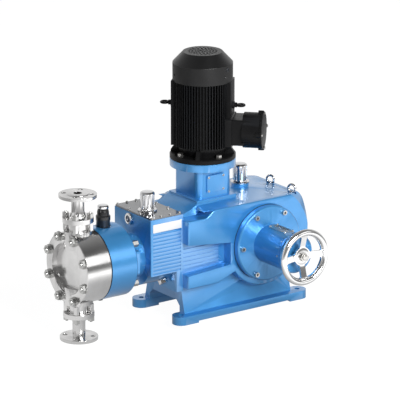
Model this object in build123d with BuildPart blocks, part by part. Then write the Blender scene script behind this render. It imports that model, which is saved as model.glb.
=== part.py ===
from build123d import *
import os
from math import acos, atan2, cos, pi, radians, sin, sqrt

# A motor-driven hydraulic diaphragm metering pump, in millimetres.
# +X runs from the wet end to the drive end, +Z is up, and the handwheel points to -Y.
# The origin is the centre of the four foundation holes, on the underside of the feet.

os.makedirs("parts", exist_ok=True)

# Clearances
run_gap = 0.3
bore_gap = 0.25
seat_lift = 0.3

# Main axes
axis_z = 208.0
motor_x = -63.0
adjuster_x = 81.0
valve_x = -518.0

# Feet
hole_span_x = 436.0
hole_span_y = 210.0
foundation_hole_d = 16.0
foot_width = 55.0
foot_height = 26.0
pad_length = 74.0
pad_drop = 6.0
skirt_left_x = -205.0
skirt_right_x = 194.0
skirt_outer_y = 104.0
leg_inner_y = 78.0
tunnel_height = 61.0
waist_y = 88.0

# Gearbox casing
case_left_x = -205.0
case_half_y = 125.0
case_top_z = 340.0
shoulder_top_z = 320.0
shoulder_x = -137.0
ramp_x = -111.0
panel_low_z = 108.0
panel_slope_x = -95.0
panel_notch = (-24.0, 135.0)
wheel_case_r = 136.0
case_right_reach = 163.0
case_side_low_z = 165.0
corner_r = 41.0
case_edge_r = 4.0
pocket_depth = 34.0
pocket_left_x = -215.0
pocket_right_x = -48.0
pocket_left_z = (148.0, 247.0)
pocket_right_z = (159.0, 228.0)
pocket_rib_low_z = 169.0
pocket_rib_pitch = 13.0
pocket_rib_count = 5
pocket_rib_end = 24.0
rib_height = 3.0
rib_gap = 4.0
wheel_room_r = 120.0
yoke_room_left_x = -182.0
yoke_room_half_y = 62.0
yoke_room_low_z = 140.0
yoke_room_high_z = 276.0
hood_half_y = 76.0
hood_low_z = 326.0

# Motor adapter
adapter_side = 128.0
adapter_corner_r = 20.0
adapter_low_z = 360.0
adapter_flange_thick = 24.0
adapter_top_z = 472.0
adapter_bore_r = 44.0
plinth_side = 148.0
plinth_foot_y = 118.0
cover_plate_side = 64.0
cover_plate_height = 52.0
cover_plate_thick = 4.0

# Motor
motor_flange_r = 100.0
motor_flange_thick = 14.0
motor_flange_pcd = 165.0
motor_bolt_d = 10.0
motor_bolt_af = 16.0
motor_bolt_head = 9.0
motor_shield_height = 42.0
motor_body_length = 199.0
motor_fin_r = 91.0
motor_root_r = 79.0
motor_bore_r = 66.0
fin_count = 64
fin_thick = 2.4
cowl_side_height = 54.0
cowl_dome_height = 33.0
cowl_top_r = 60.0
cowl_wall = 2.5
grille_hole_r = 3.4
rotor_r = 44.0
rotor_start = 51.0
rotor_length = 110.0
motor_shaft_r = 12.0
eye_axis_height = 123.0
terminal_height = 47.0
terminal_angle = -45.0
terminal_neck_end = 126.0
terminal_box_end = 180.0
terminal_box_r = 54.0
terminal_cover_thick = 7.0
terminal_lug_r = 62.0
terminal_lug_round_r = 8.0
terminal_wall = 5.0

# Worm drive
worm_root_r = 22.0
worm_crest_r = 27.0
worm_pitch = 24.0
worm_half_length = 58.0
worm_shaft_r = 12.0
wheel_half_width = 17.0
wheel_teeth = 30

# Eccentric shaft and crosshead
stroke = 25.0
shaft_r = 15.0
eccentric_r = 28.0
yoke_inner_y = 32.0
yoke_plate_thick = 12.0
yoke_rim = 12.0
crosshead_left_x = -150.0
crosshead_right_x = -110.0
plunger_r = 25.0
plunger_end_x = -330.0

# Hydraulic chamber
chamber_left_x = -322.0
chamber_flange_x = -229.0
chamber_half_y = 97.0
chamber_low_z = 162.0
chamber_top_z = 338.0
chamber_flange_low_z = 97.0
belly_r = 93.0
reservoir_floor_z = 262.0
reservoir_wall = 12.0
reservoir_cover_thick = 5.0
groove_depth = 2.5
groove_pitch = 11.2
groove_count = 12
groove_end_gap = 8.0
groove_low_z = 168.0
sleeve_r = 37.0
sleeve_end_x = -340.0
breather_r = 22.0
breather_height = 60.0

# Wet end
disc_r = 111.0
disc_back_x = -376.0
disc_front_x = -470.0
diaphragm_thick = 4.0
head_front_x = -559.0
head_recess_r = 79.0
head_recess_depth = 18.0
head_bolt_pcd = 200.0
head_bolt_d = 14.0
head_bolt_af = 24.0
head_nut_height = 12.0
stud_end = 4.0
head_bolt_count = 8
disc_bolt_pcd = 190.0
disc_edge_bevel = 5.0
dish_r = 80.0
dish_depth = 9.0
neck_half_y = 82.0
neck_height_z = 76.0
neck_lug_length = 24.0
neck_barrel_r = 70.0

# Valves
port_reach = 228.0
port_flange_r = 57.5
port_flange_thick = 12.0
port_pcd = 85.0
port_hole_d = 14.0
port_bore_r = 12.5
port_neck_r = 19.5
boss_start = 60.0
boss_reach = 114.0
valve_body_reach = 140.0
clamp_flange_thick = 15.0
valve_body_r = 37.0
valve_flange_r = 47.0
valve_stud_pcd = 74.0
valve_stud_d = 10.0
valve_nut_af = 19.0
valve_nut_height = 12.0
ball_r = 14.0
ball_lift = 8.0
seat_bore_r = 10.0
seat_r = 22.0
seat_thick = 6.0
chamber_r = 18.0

# Stroke adjuster
adjuster_flange_r = 117.0
adjuster_flange_thick = 22.0
adjuster_spigot_r = 70.0
adjuster_spigot_length = 20.0
adjuster_screw_pcd = 206.0
adjuster_screw_d = 10.0
adjuster_screw_count = 6
adjuster_tube_r = 60.0
adjuster_tube_bore_r = 50.0
adjuster_tube_length = 122.0
end_cap_thick = 16.0
window_half_width = 9.0
window_start = 26.0
window_length = 66.0
spindle_r = 9.0
handwheel_reach = 174.0
handwheel_r = 87.0
handwheel_dish = 14.0
handwheel_rim_r = 10.0
handwheel_hub_r = 27.0
handwheel_spoke_width = 20.0
handwheel_web_thick = 8.0

# Eye bolts on the casing
eye_ring_r = 12.2
eye_wire_r = 3.5
eye_seat_z = 329.0
eye_pocket_r = 13.5
eye_shank_r = 5.0
eye_places = ((199.0, -100.0), (205.0, 17.0))
eye_normal = (cos(radians(25.0)), sin(radians(25.0)), 0)

# Values worked out from the sizes above
pump_plane = Plane(origin=(0, 0, axis_z), x_dir=(1, 0, 0), z_dir=(0, -1, 0))
pump_axis = Axis((0, 0, axis_z), (1, 0, 0))
motor_plane = Plane(origin=(motor_x, 0, 0), x_dir=(1, 0, 0), z_dir=(0, -1, 0))
motor_axis = Axis((motor_x, 0, 0), (0, 0, 1))
valve_axis = Axis((valve_x, 0, 0), (0, 0, 1))
adjuster_axis = Axis((adjuster_x, 0, axis_z), (0, -1, 0))
terminal_out = (cos(radians(terminal_angle)), sin(radians(terminal_angle)), 0)
case_right_x = adjuster_x + case_right_reach
wheel_r = adjuster_x - motor_x - worm_crest_r - run_gap
adapter_flange_z = adapter_top_z - adapter_flange_thick
motor_body_low_z = adapter_top_z + motor_shield_height
motor_body_high_z = motor_body_low_z + motor_body_length
cowl_step_z = motor_body_high_z + cowl_side_height
cowl_top_z = cowl_step_z + cowl_dome_height
eye_axis_z = motor_body_low_z + eye_axis_height
terminal_z = motor_body_low_z + terminal_height
rotor_low_z = motor_body_low_z + rotor_start
rotor_high_z = rotor_low_z + rotor_length
valve_flange_reach = valve_body_reach + clamp_flange_thick


def outline(points, plane):
    """A closed face through the points on the plane."""
    with BuildSketch(plane) as face:
        with BuildLine():
            Polyline(*points, close=True)
        make_face()
    return face.sketch


def turned(points, plane, axis, mode=Mode.ADD):
    """A ring or rod turned from its half outline."""
    revolve(outline(points, plane), axis=axis, mode=mode)


def tube(plane, outer_r, inner_r, length, mode=Mode.ADD):
    """A straight tube, or a rod where the inner radius is zero."""
    with BuildSketch(plane) as end:
        Circle(outer_r)
        if inner_r:
            Circle(inner_r, mode=Mode.SUBTRACT)
    extrude(end.sketch, length, mode=mode)


def circle_places(diameter, count, start_degrees=0.0):
    """Points spread evenly on a circle."""
    step = 2 * pi / count
    angles = [radians(start_degrees) + step * number for number in range(count)]
    return [(diameter / 2 * cos(angle), diameter / 2 * sin(angle)) for angle in angles]


def hex_screws(plane, places, across_flats, head_height, shank_d=0.0, shank_length=0.0):
    """Hexagon heads that stand on the plane, with plain shanks below it."""
    with BuildSketch(plane) as heads:
        with Locations(*places):
            RegularPolygon(across_flats / 2, 6, major_radius=False)
    extrude(heads.sketch, head_height)
    if shank_length:
        with BuildSketch(plane) as shanks:
            with Locations(*places):
                Circle(shank_d / 2)
        extrude(shanks.sketch, -shank_length)


def stud_ends(plane, places, diameter):
    """Rounded stud ends that show above their nuts."""
    with BuildSketch(plane) as ends:
        with Locations(*places):
            Circle(diameter / 2)
    extrude(ends.sketch, stud_end, taper=15)


def socket_screws(plane, places, head_d, head_height, shank_d=0.0, shank_length=0.0):
    """Round heads with a hexagon socket, standing on the plane."""
    with BuildSketch(plane) as heads:
        with Locations(*places):
            Circle(head_d / 2)
    extrude(heads.sketch, head_height)
    with BuildSketch(plane.offset(head_height)) as sockets:
        with Locations(*places):
            RegularPolygon(head_d / 4, 6)
    extrude(sockets.sketch, -head_height / 2, mode=Mode.SUBTRACT)
    if shank_length:
        with BuildSketch(plane) as shanks:
            with Locations(*places):
                Circle(shank_d / 2)
        extrude(shanks.sketch, -shank_length)


def drill(plane, places, diameter, depth):
    """Round holes that go below the plane."""
    with BuildSketch(plane) as holes:
        with Locations(*places):
            Circle(diameter / 2)
    extrude(holes.sketch, -depth, mode=Mode.SUBTRACT)


def eye_ring(centre, normal, ring_r, wire_r):
    """The ring of an eye bolt."""
    ring_plane = Plane(origin=centre, z_dir=normal)
    with Locations(ring_plane.location):
        Torus(ring_r, wire_r)


# Planes across the axes that several pieces share
adjuster_front = Plane(origin=(adjuster_x, -case_half_y, axis_z), x_dir=(1, 0, 0), z_dir=(0, -1, 0))
flange_front = adjuster_front.offset(adjuster_flange_thick)
tube_end = flange_front.offset(adjuster_tube_length)
case_rear = Plane(origin=(adjuster_x, case_half_y, axis_z), x_dir=(-1, 0, 0), z_dir=(0, 1, 0))
motor_level = Plane(origin=(motor_x, 0, 0), x_dir=(1, 0, 0), z_dir=(0, 0, 1))
foot_level = Plane.XY.offset(foot_height)
foot_places = [(x * hole_span_x / 2, y * hole_span_y / 2) for x in (-1, 1) for y in (-1, 1)]

# Bearing seats on the worm and eccentric shafts
worm_bearing_r = worm_crest_r + 4.0
worm_low_bearing_z = axis_z - 86.0
worm_high_bearing_z = axis_z + 78.0
bearing_width = 16.0
eccentric_bearing_r = 31.0
front_bearing_y = 31.0 - case_half_y
rear_bearing_y = case_half_y - 27.0
wheel_room_y = case_half_y - 51.0
rear_cover_r = wheel_case_r - 2.0
rear_cover_thick = 12.0
rear_boss_r = 44.0
rear_boss_depth = 30.0
rear_screw_pcd = 2 * (wheel_case_r - 10.0)
rear_screw_count = 8
crosshead_r = 54.0
yoke_bar_half_z = 30.0

# The right wall runs down to the point where a line touches the round wheel case
side_drop = axis_z - case_side_low_z
side_distance = sqrt(case_right_reach**2 + side_drop**2)
touch_angle = atan2(side_drop, case_right_reach) + acos(wheel_case_r / side_distance)
case_under = (
    adjuster_x + wheel_case_r * cos(touch_angle), axis_z - wheel_case_r * sin(touch_angle)
)

# Gearbox casing with its feet, cast in one piece
with BuildPart() as gearbox_housing:
    with BuildSketch(Plane.XZ) as case_profile:
        with Locations((adjuster_x, axis_z)):
            Circle(wheel_case_r)
            Rectangle(
                2 * wheel_case_r, wheel_case_r,
                align=(Align.CENTER, Align.MIN), mode=Mode.SUBTRACT,
            )
        with BuildLine():
            Polyline(
                (panel_slope_x, panel_low_z),
                (case_left_x, panel_low_z),
                (case_left_x, shoulder_top_z),
                (shoulder_x, shoulder_top_z),
                (ramp_x, case_top_z),
                (case_right_x, case_top_z),
                (case_right_x, case_side_low_z),
                case_under,
                (adjuster_x, axis_z),
                panel_notch,
                close=True,
            )
        make_face()
        for corner, radius in (
            ((case_right_x, case_top_z), corner_r),
            ((panel_slope_x, panel_low_z), 30.0),
            ((shoulder_x, shoulder_top_z), 18.0),
            ((ramp_x, case_top_z), 18.0),
            ((case_left_x, shoulder_top_z), 6.0),
        ):
            nearest = case_profile.vertices().sort_by_distance(Vector(*corner, 0))[0]
            fillet(nearest, radius)
    extrude(amount=case_half_y, both=True)
    end_faces = gearbox_housing.faces().sort_by(Axis.Y)
    fillet(end_faces[0].outer_wire().edges() + end_faces[-1].outer_wire().edges(), case_edge_r)
    # Slope turned round the wheel axis at the upper right corner of both faces
    slope_reach = 70.0
    for side in (-1, 1):
        corner_slope = outline(
            [
                (1.0, case_right_reach - 1.0),
                (1.0, case_right_reach + slope_reach),
                (-slope_reach, case_right_reach + slope_reach),
            ],
            Plane(origin=(adjuster_x, side * case_half_y, axis_z), x_dir=(0, side, 0), z_dir=(side, 0, 0)),
        )
        revolve(
            corner_slope, axis=Axis((adjuster_x, 0, axis_z), (0, 1, 0)),
            revolution_arc=90, mode=Mode.SUBTRACT,
        )
    # Waist and legs
    leg_chamfer = 16.0
    waist_low_z = 92.0
    waist_high_z = panel_low_z + 30.0
    legs = outline(
        [
            (-leg_inner_y, 0),
            (-leg_inner_y, tunnel_height - leg_chamfer),
            (-leg_inner_y + leg_chamfer, tunnel_height),
            (leg_inner_y - leg_chamfer, tunnel_height),
            (leg_inner_y, tunnel_height - leg_chamfer),
            (leg_inner_y, 0),
            (skirt_outer_y, 0),
            (skirt_outer_y, foot_height),
            (waist_y, waist_low_z),
            (waist_y, waist_high_z),
            (-waist_y, waist_high_z),
            (-waist_y, waist_low_z),
            (-skirt_outer_y, foot_height),
            (-skirt_outer_y, 0),
        ],
        Plane.YZ.offset(skirt_left_x),
    )
    extrude(legs, skirt_right_x - skirt_left_x)
    # Foot strips with raised pads under their ends
    with BuildSketch(Plane.XY.offset(pad_drop)) as strips:
        with Locations((0, -hole_span_y / 2), (0, hole_span_y / 2)):
            SlotOverall(hole_span_x + foot_width, foot_width)
    extrude(strips.sketch, foot_height - pad_drop)
    with BuildSketch(Plane.XY) as pads:
        with Locations((0, -hole_span_y / 2), (0, hole_span_y / 2)):
            SlotOverall(hole_span_x + foot_width, foot_width)
            Rectangle(hole_span_x + foot_width - 2 * pad_length, foot_width, mode=Mode.SUBTRACT)
    extrude(pads.sketch, pad_drop)
    with BuildSketch(Plane.XY) as under_relief:
        Rectangle(hole_span_x + foot_width - 2 * pad_length, hole_span_y + foot_width)
    extrude(under_relief.sketch, pad_drop, mode=Mode.SUBTRACT)
    # Plinth and hood under the motor adapter
    plinth_rim_z = adapter_low_z - 12.0
    with BuildSketch(Plane(origin=(motor_x, 0, case_top_z - 2.0))) as plinth_foot:
        Rectangle(plinth_side + 16.0, 2 * plinth_foot_y)
    with BuildSketch(Plane(origin=(motor_x, 0, plinth_rim_z))) as plinth_rim:
        RectangleRounded(plinth_side, plinth_side, 4.0)
    plinth_rim_square = outline(
        [
            (-plinth_side / 2, -plinth_side / 2),
            (plinth_side / 2, -plinth_side / 2),
            (plinth_side / 2, plinth_side / 2),
            (-plinth_side / 2, plinth_side / 2),
        ],
        Plane(origin=(motor_x, 0, plinth_rim_z)),
    )
    loft([plinth_foot.sketch.face(), plinth_rim_square.face()])
    extrude(plinth_rim.sketch, adapter_low_z - plinth_rim_z)
    hood = outline(
        [
            (case_left_x, shoulder_top_z - 20.0),
            (case_left_x, hood_low_z),
            (motor_x - plinth_side / 2 - 22.0, plinth_rim_z - 8.0),
            (motor_x - plinth_side / 2, plinth_rim_z + 6.0),
            (motor_x, plinth_rim_z + 6.0),
            (motor_x, shoulder_top_z - 20.0),
        ],
        Plane.XZ,
    )
    extrude(hood, hood_half_y, both=True)
    # Ribbed pocket in each side wall
    for side in (-1, 1):
        pocket_floor_y = side * (case_half_y - pocket_depth)
        pocket_plane = Plane(origin=(0, pocket_floor_y, 0), x_dir=(1, 0, 0), z_dir=(0, -1, 0))
        pocket = outline(
            [
                (pocket_left_x, pocket_left_z[1]),
                (pocket_right_x, pocket_right_z[1]),
                (pocket_right_x, pocket_right_z[0]),
                (pocket_left_x, pocket_left_z[0]),
            ],
            pocket_plane,
        )
        extrude(pocket, -side * (pocket_depth + 1.0), mode=Mode.SUBTRACT)
        with BuildSketch(pocket_plane) as ribs:
            rib_end_x = pocket_right_x - pocket_rib_end
            for number in range(pocket_rib_count):
                rib_z = pocket_rib_low_z + number * pocket_rib_pitch
                with Locations(((case_left_x + rib_end_x) / 2, rib_z)):
                    Rectangle(rib_end_x - case_left_x, pocket_rib_pitch - rib_gap)
        extrude(ribs.sketch, -side * rib_height)
    # Round seat of the adjuster and boss of the casing breather
    tube(adjuster_front.offset(-4.0), adjuster_flange_r + 5.0, 0, 4.0)
    with Locations((109.0, 44.0, case_top_z - 2.0)):
        Cylinder(breather_r + 5.0, 12.0, align=(Align.CENTER, Align.CENTER, Align.MIN))
    # Rooms for the wheel, the crosshead and the worm
    tube(
        Plane(origin=(adjuster_x, -wheel_room_y, axis_z), x_dir=(-1, 0, 0), z_dir=(0, 1, 0)),
        wheel_room_r, 0, wheel_room_y + case_half_y + 1.0, mode=Mode.SUBTRACT,
    )
    guide_end_x = crosshead_right_x + 6.0
    with BuildSketch(Plane.XZ) as yoke_room:
        with Locations(((guide_end_x + adjuster_x) / 2, (yoke_room_low_z + yoke_room_high_z) / 2)):
            Rectangle(adjuster_x - guide_end_x, yoke_room_high_z - yoke_room_low_z)
    extrude(yoke_room.sketch, yoke_room_half_y, both=True, mode=Mode.SUBTRACT)
    tube(
        Plane(origin=(yoke_room_left_x, 0, axis_z), x_dir=(0, 1, 0), z_dir=(1, 0, 0)),
        crosshead_r + run_gap, 0, guide_end_x - yoke_room_left_x, mode=Mode.SUBTRACT,
    )
    tube(
        Plane(origin=(case_left_x - 1.0, 0, axis_z), x_dir=(0, 1, 0), z_dir=(1, 0, 0)),
        plunger_r + 1.0, 0, yoke_room_left_x - case_left_x + 2.0, mode=Mode.SUBTRACT,
    )
    tube(
        motor_level.offset(yoke_room_high_z - 1.0), worm_bearing_r + bore_gap, 0,
        adapter_low_z - yoke_room_high_z + 2.0, mode=Mode.SUBTRACT,
    )
    tube(
        motor_level.offset(worm_low_bearing_z - bore_gap), worm_bearing_r + bore_gap, 0,
        yoke_room_low_z - worm_low_bearing_z + 1.0, mode=Mode.SUBTRACT,
    )
    # Bearing seat and adjuster spigot seat in the front wall
    tube(
        adjuster_front.offset(1.0), adjuster_spigot_r + bore_gap, 0,
        -(adjuster_spigot_length + 2.0), mode=Mode.SUBTRACT,
    )
    tube(adjuster_front.offset(1.0), eccentric_bearing_r - 8.0, 0, -case_half_y, mode=Mode.SUBTRACT)
    tube(
        Plane(origin=(adjuster_x, front_bearing_y - bore_gap, axis_z), x_dir=(-1, 0, 0), z_dir=(0, 1, 0)),
        eccentric_bearing_r + bore_gap, 0, -wheel_room_y - front_bearing_y + 1.0, mode=Mode.SUBTRACT,
    )
    # Foundation, adjuster and eye bolt holes
    drill(foot_level, foot_places, foundation_hole_d, foot_height)
    adjuster_hole_places = circle_places(adjuster_screw_pcd, adjuster_screw_count)
    drill(adjuster_front, adjuster_hole_places, adjuster_screw_d + 2 * bore_gap, 20.0)
    for eye_x, eye_y in eye_places:
        with Locations((eye_x, eye_y, eye_seat_z)):
            Cylinder(eye_pocket_r, 30.0, align=(Align.CENTER, Align.CENTER, Align.MIN), mode=Mode.SUBTRACT)
            Cylinder(
                eye_shank_r + bore_gap, 16.0,
                align=(Align.CENTER, Align.CENTER, Align.MAX), mode=Mode.SUBTRACT,
            )
gearbox_housing.part.label = "gearbox_housing"
export_step(gearbox_housing.part, "parts/gearbox_housing.step")

# Rear cover with the bearing boss
with BuildPart() as rear_bearing_cover:
    tube(case_rear, rear_cover_r, 0, rear_cover_thick)
    tube(case_rear, wheel_room_r - bore_gap, wheel_room_r - 10.0, -14.0)
    tube(case_rear, rear_boss_r, 0, -rear_boss_depth)
    tube(
        case_rear.offset(rear_bearing_y - case_half_y - 4.0), eccentric_bearing_r + bore_gap, 0,
        bearing_width + 4.0 + bore_gap, mode=Mode.SUBTRACT,
    )
    tube(case_rear.offset(rear_cover_thick), rear_boss_r + 8.0, 0, 6.0)
    rear_screw_places = circle_places(rear_screw_pcd, rear_screw_count, 22.5)
    rear_rim = rear_bearing_cover.faces().sort_by(Axis.Y)[-1]
    chamfer(rear_rim.outer_wire().edges(), 2.0)
rear_bearing_cover.part.label = "rear_bearing_cover"
export_step(rear_bearing_cover.part, "parts/rear_bearing_cover.step")

with BuildPart() as rear_cover_screws:
    hex_screws(case_rear.offset(rear_cover_thick), rear_screw_places, 10.0, 5.0)
rear_cover_screws.part.label = "rear_cover_screws"
export_step(rear_cover_screws.part, "parts/rear_cover_screws.step")

# Filler and vent caps share one turned form
cap_profile = [
    (0, 0), (breather_r - 6.0, 0), (breather_r - 6.0, 8.0), (breather_r, 10.0),
    (breather_r, breather_height - 4.0), (breather_r - 4.0, breather_height), (0, breather_height),
]
casing_breather_seat = Vector(109.0, 44.0, case_top_z + 10.0)
reservoir_breather_seat = Vector(-279.0, -17.0, chamber_top_z + reservoir_cover_thick)


def vent_cap(seat):
    """A fluted cap on a hexagon neck."""
    axis = Axis(seat, (0, 0, 1))
    turned(cap_profile, Plane(origin=seat, x_dir=(1, 0, 0), z_dir=(0, -1, 0)), axis)
    with BuildSketch(Plane(origin=seat + Vector(0, 0, 10.0))) as flutes:
        with Locations(*circle_places(2 * breather_r + 2.0, 12)):
            Circle(3.0)
    extrude(flutes.sketch, breather_height - 18.0, mode=Mode.SUBTRACT)
    with BuildSketch(Plane(origin=seat)) as neck:
        RegularPolygon(breather_r - 3.0, 6, major_radius=False)
    extrude(neck.sketch, 7.0)


with BuildPart() as casing_breather:
    vent_cap(casing_breather_seat)
casing_breather.part.label = "casing_breather"
export_step(casing_breather.part, "parts/casing_breather.step")

# Two eye bolts that lift the casing
with BuildPart() as casing_lifting_eyes:
    for eye_x, eye_y in eye_places:
        eye_centre = Vector(eye_x, eye_y, eye_seat_z + 6.0 + eye_ring_r + eye_wire_r - 1.0)
        eye_ring(eye_centre, eye_normal, eye_ring_r, eye_wire_r)
        with Locations((eye_x, eye_y, eye_seat_z)):
            Cylinder(9.0, 6.0, align=(Align.CENTER, Align.CENTER, Align.MIN))
            Cylinder(eye_shank_r, 14.0, align=(Align.CENTER, Align.CENTER, Align.MAX))
casing_lifting_eyes.part.label = "casing_lifting_eyes"
export_step(casing_lifting_eyes.part, "parts/casing_lifting_eyes.step")

# Lantern between the casing and the motor
motor_hole_places = circle_places(motor_flange_pcd, 4)
adapter_front_y = -adapter_side / 2
with BuildPart() as motor_adapter:
    with BuildSketch(motor_level.offset(adapter_low_z)) as adapter_square:
        RectangleRounded(adapter_side, adapter_side, adapter_corner_r)
    extrude(adapter_square.sketch, adapter_flange_z - adapter_low_z)
    tube(motor_level.offset(adapter_flange_z), motor_flange_r, 0, adapter_top_z - adapter_flange_z)
    flange_rim = motor_adapter.edges().filter_by(GeomType.CIRCLE).sort_by(Axis.Z)[-1]
    chamfer(flange_rim, 1.5)
    tube(
        motor_level.offset(adapter_low_z - 1.0), adapter_bore_r, 0,
        adapter_top_z - adapter_low_z + 2.0, mode=Mode.SUBTRACT,
    )
    window_plane = Plane(
        origin=(motor_x, adapter_front_y, (adapter_low_z + adapter_flange_z) / 2),
        x_dir=(1, 0, 0), z_dir=(0, -1, 0),
    )
    with BuildSketch(window_plane) as hand_window:
        RectangleRounded(cover_plate_side - 18.0, cover_plate_height - 18.0, 6.0)
    extrude(hand_window.sketch, -(adapter_side / 2 - adapter_bore_r + 12.0), mode=Mode.SUBTRACT)
    drill(motor_level.offset(adapter_top_z), motor_hole_places, motor_bolt_d + 2 * bore_gap, 20.0)
motor_adapter.part.label = "motor_adapter"
export_step(motor_adapter.part, "parts/motor_adapter.step")

with BuildPart() as adapter_cover_plate:
    with BuildSketch(window_plane) as plate:
        RectangleRounded(cover_plate_side, cover_plate_height, 4.0)
    extrude(plate.sketch, cover_plate_thick)
adapter_cover_plate.part.label = "adapter_cover_plate"
export_step(adapter_cover_plate.part, "parts/adapter_cover_plate.step")

cover_screw_places = [
    (x * (cover_plate_side / 2 - 5.0), y * (cover_plate_height / 2 - 5.0)) for x in (-1, 1) for y in (-1, 1)
]
with BuildPart() as adapter_cover_screws:
    socket_screws(window_plane.offset(cover_plate_thick), cover_screw_places, 7.0, 2.5)
adapter_cover_screws.part.label = "adapter_cover_screws"
export_step(adapter_cover_screws.part, "parts/adapter_cover_screws.step")

# Motor: flanged end shield
shield_top_r = 77.0
shield_z = adapter_top_z + motor_flange_thick
with BuildPart() as motor_end_shield:
    turned(
        [
            (motor_shaft_r + 2.0, adapter_top_z),
            (motor_flange_r, adapter_top_z),
            (motor_flange_r, shield_z - 3.0),
            (motor_flange_r - 3.0, shield_z),
            (shield_top_r - 9.0, shield_z),
            (shield_top_r, motor_body_low_z - 6.0),
            (shield_top_r, motor_body_low_z),
            (motor_shaft_r + 2.0, motor_body_low_z),
        ],
        motor_plane, motor_axis,
    )
    for number in range(4):
        gusset_plane = Plane(
            origin=(motor_x, 0, 0),
            x_dir=(cos(radians(45 + 90 * number)), sin(radians(45 + 90 * number)), 0),
            z_dir=(sin(radians(45 + 90 * number)), -cos(radians(45 + 90 * number)), 0),
        )
        gusset = outline(
            [
                (shield_top_r - 12.0, shield_z - 1.0),
                (motor_flange_r - 3.0, shield_z - 1.0),
                (motor_flange_r - 3.0, shield_z + 6.0),
                (shield_top_r + 4.0, motor_body_low_z),
                (shield_top_r - 12.0, motor_body_low_z),
            ],
            gusset_plane,
        )
        extrude(gusset, 6.0, both=True)
    drill(motor_level.offset(shield_z + 1.0), motor_hole_places, motor_bolt_d + 2 * bore_gap, 20.0)
motor_end_shield.part.label = "motor_end_shield"
export_step(motor_end_shield.part, "parts/motor_end_shield.step")

with BuildPart() as motor_flange_bolts:
    hex_screws(
        motor_level.offset(shield_z), motor_hole_places, motor_bolt_af, motor_bolt_head,
        motor_bolt_d, motor_flange_thick + 18.0,
    )
motor_flange_bolts.part.label = "motor_flange_bolts"
export_step(motor_flange_bolts.part, "parts/motor_flange_bolts.step")

# Motor: finned frame with the pad of the terminal box and the bosses of the eyes
terminal_plane = Plane(origin=(motor_x, 0, terminal_z), x_dir=(0, 0, 1), z_dir=terminal_out)
pad_reach = motor_fin_r + 4.0
frame_flat_width = 76.0
pad_height = 90.0
neck_height = 80.0
neck_width = 98.0
eye_boss_reach = 97.0
motor_rear_shield = 12.0
with BuildPart() as motor_frame:
    body_length = motor_body_high_z - motor_body_low_z
    with BuildSketch(motor_level.offset(motor_body_low_z)) as finned:
        Circle(motor_root_r)
        fin_length = motor_fin_r - motor_root_r + 3.0
        with PolarLocations(motor_fin_r - fin_length / 2, fin_count):
            Rectangle(fin_length, fin_thick)
        Circle(motor_bore_r, mode=Mode.SUBTRACT)
    extrude(finned.sketch, body_length)
    with BuildSketch(terminal_plane.offset(motor_root_r - 8.0)) as pad:
        with Locations((motor_body_low_z + pad_height / 2 - terminal_z, 0)):
            RectangleRounded(pad_height, neck_width, 6.0)
    extrude(pad.sketch, pad_reach - motor_root_r + 8.0)
    # Flats that run the whole height and carry the eye bosses
    for sign in (1, -1):
        eye_out = Vector(*terminal_out) * sign
        flat_plane = Plane(
            origin=Vector(motor_x, 0, motor_body_low_z + body_length / 2) + eye_out * (motor_root_r - 8.0),
            x_dir=(0, 0, 1), z_dir=eye_out,
        )
        with BuildSketch(flat_plane) as flat:
            Rectangle(body_length, frame_flat_width)
        extrude(flat.sketch, motor_fin_r - motor_root_r + 8.0)
        boss_plane = Plane(
            origin=Vector(motor_x, 0, eye_axis_z) + eye_out * (motor_root_r - 4.0), z_dir=eye_out,
        )
        tube(boss_plane, 11.0, 0, eye_boss_reach - motor_root_r + 4.0)
    tube(
        motor_level.offset(motor_body_high_z - motor_rear_shield), motor_root_r - 1.0,
        motor_shaft_r + 2.0, motor_rear_shield,
    )
motor_frame.part.label = "motor_frame"
export_step(motor_frame.part, "parts/motor_frame.step")

# Eye bolts of the motor lie flat, with their rings level
with BuildPart() as motor_lifting_eyes:
    for sign in (1, -1):
        eye_out = Vector(*terminal_out) * sign
        ring_centre = Vector(motor_x, 0, eye_axis_z) + eye_out * (eye_boss_reach + 19.0)
        eye_ring(ring_centre, (0, 0, 1), 10.5, 3.8)
        shank_plane = Plane(
            origin=Vector(motor_x, 0, eye_axis_z) + eye_out * eye_boss_reach, z_dir=eye_out,
        )
        tube(shank_plane, 7.5, 0, 7.5)
motor_lifting_eyes.part.label = "motor_lifting_eyes"
export_step(motor_lifting_eyes.part, "parts/motor_lifting_eyes.step")

# Terminal box: a square neck that opens into a round box
with BuildPart() as terminal_box:
    with BuildSketch(terminal_plane.offset(pad_reach)) as box_neck:
        RectangleRounded(neck_height, neck_width - 8.0, 5.0)
    extrude(box_neck.sketch, terminal_neck_end - pad_reach + 6.0)
    tube(terminal_plane.offset(terminal_neck_end), terminal_box_r, 0, terminal_box_end - terminal_neck_end)
    tube(
        terminal_plane.offset(terminal_neck_end + 6.0), terminal_box_r - terminal_wall, 0,
        terminal_box_end - terminal_neck_end, mode=Mode.SUBTRACT,
    )
    with BuildSketch(terminal_plane.offset(terminal_box_end - 10.0)) as lugs:
        with Locations(*circle_places(2 * (terminal_lug_r - terminal_lug_round_r), 4)):
            Circle(terminal_lug_round_r)
        Circle(terminal_box_r - terminal_wall, mode=Mode.SUBTRACT)
    extrude(lugs.sketch, 10.0)
terminal_box.part.label = "terminal_box"
export_step(terminal_box.part, "parts/terminal_box.step")

with BuildPart() as terminal_cover:
    with BuildSketch(terminal_plane.offset(terminal_box_end)) as cover_face:
        Circle(terminal_box_r + 2.0)
        with Locations(*circle_places(2 * (terminal_lug_r - terminal_lug_round_r), 4)):
            Circle(terminal_lug_round_r)
    extrude(cover_face.sketch, terminal_cover_thick)
    chamfer(terminal_cover.faces().sort_by(Axis(Vector(0, 0, 0), terminal_out))[-1].edges(), 1.5)
terminal_cover.part.label = "terminal_cover"
export_step(terminal_cover.part, "parts/terminal_cover.step")

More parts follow.
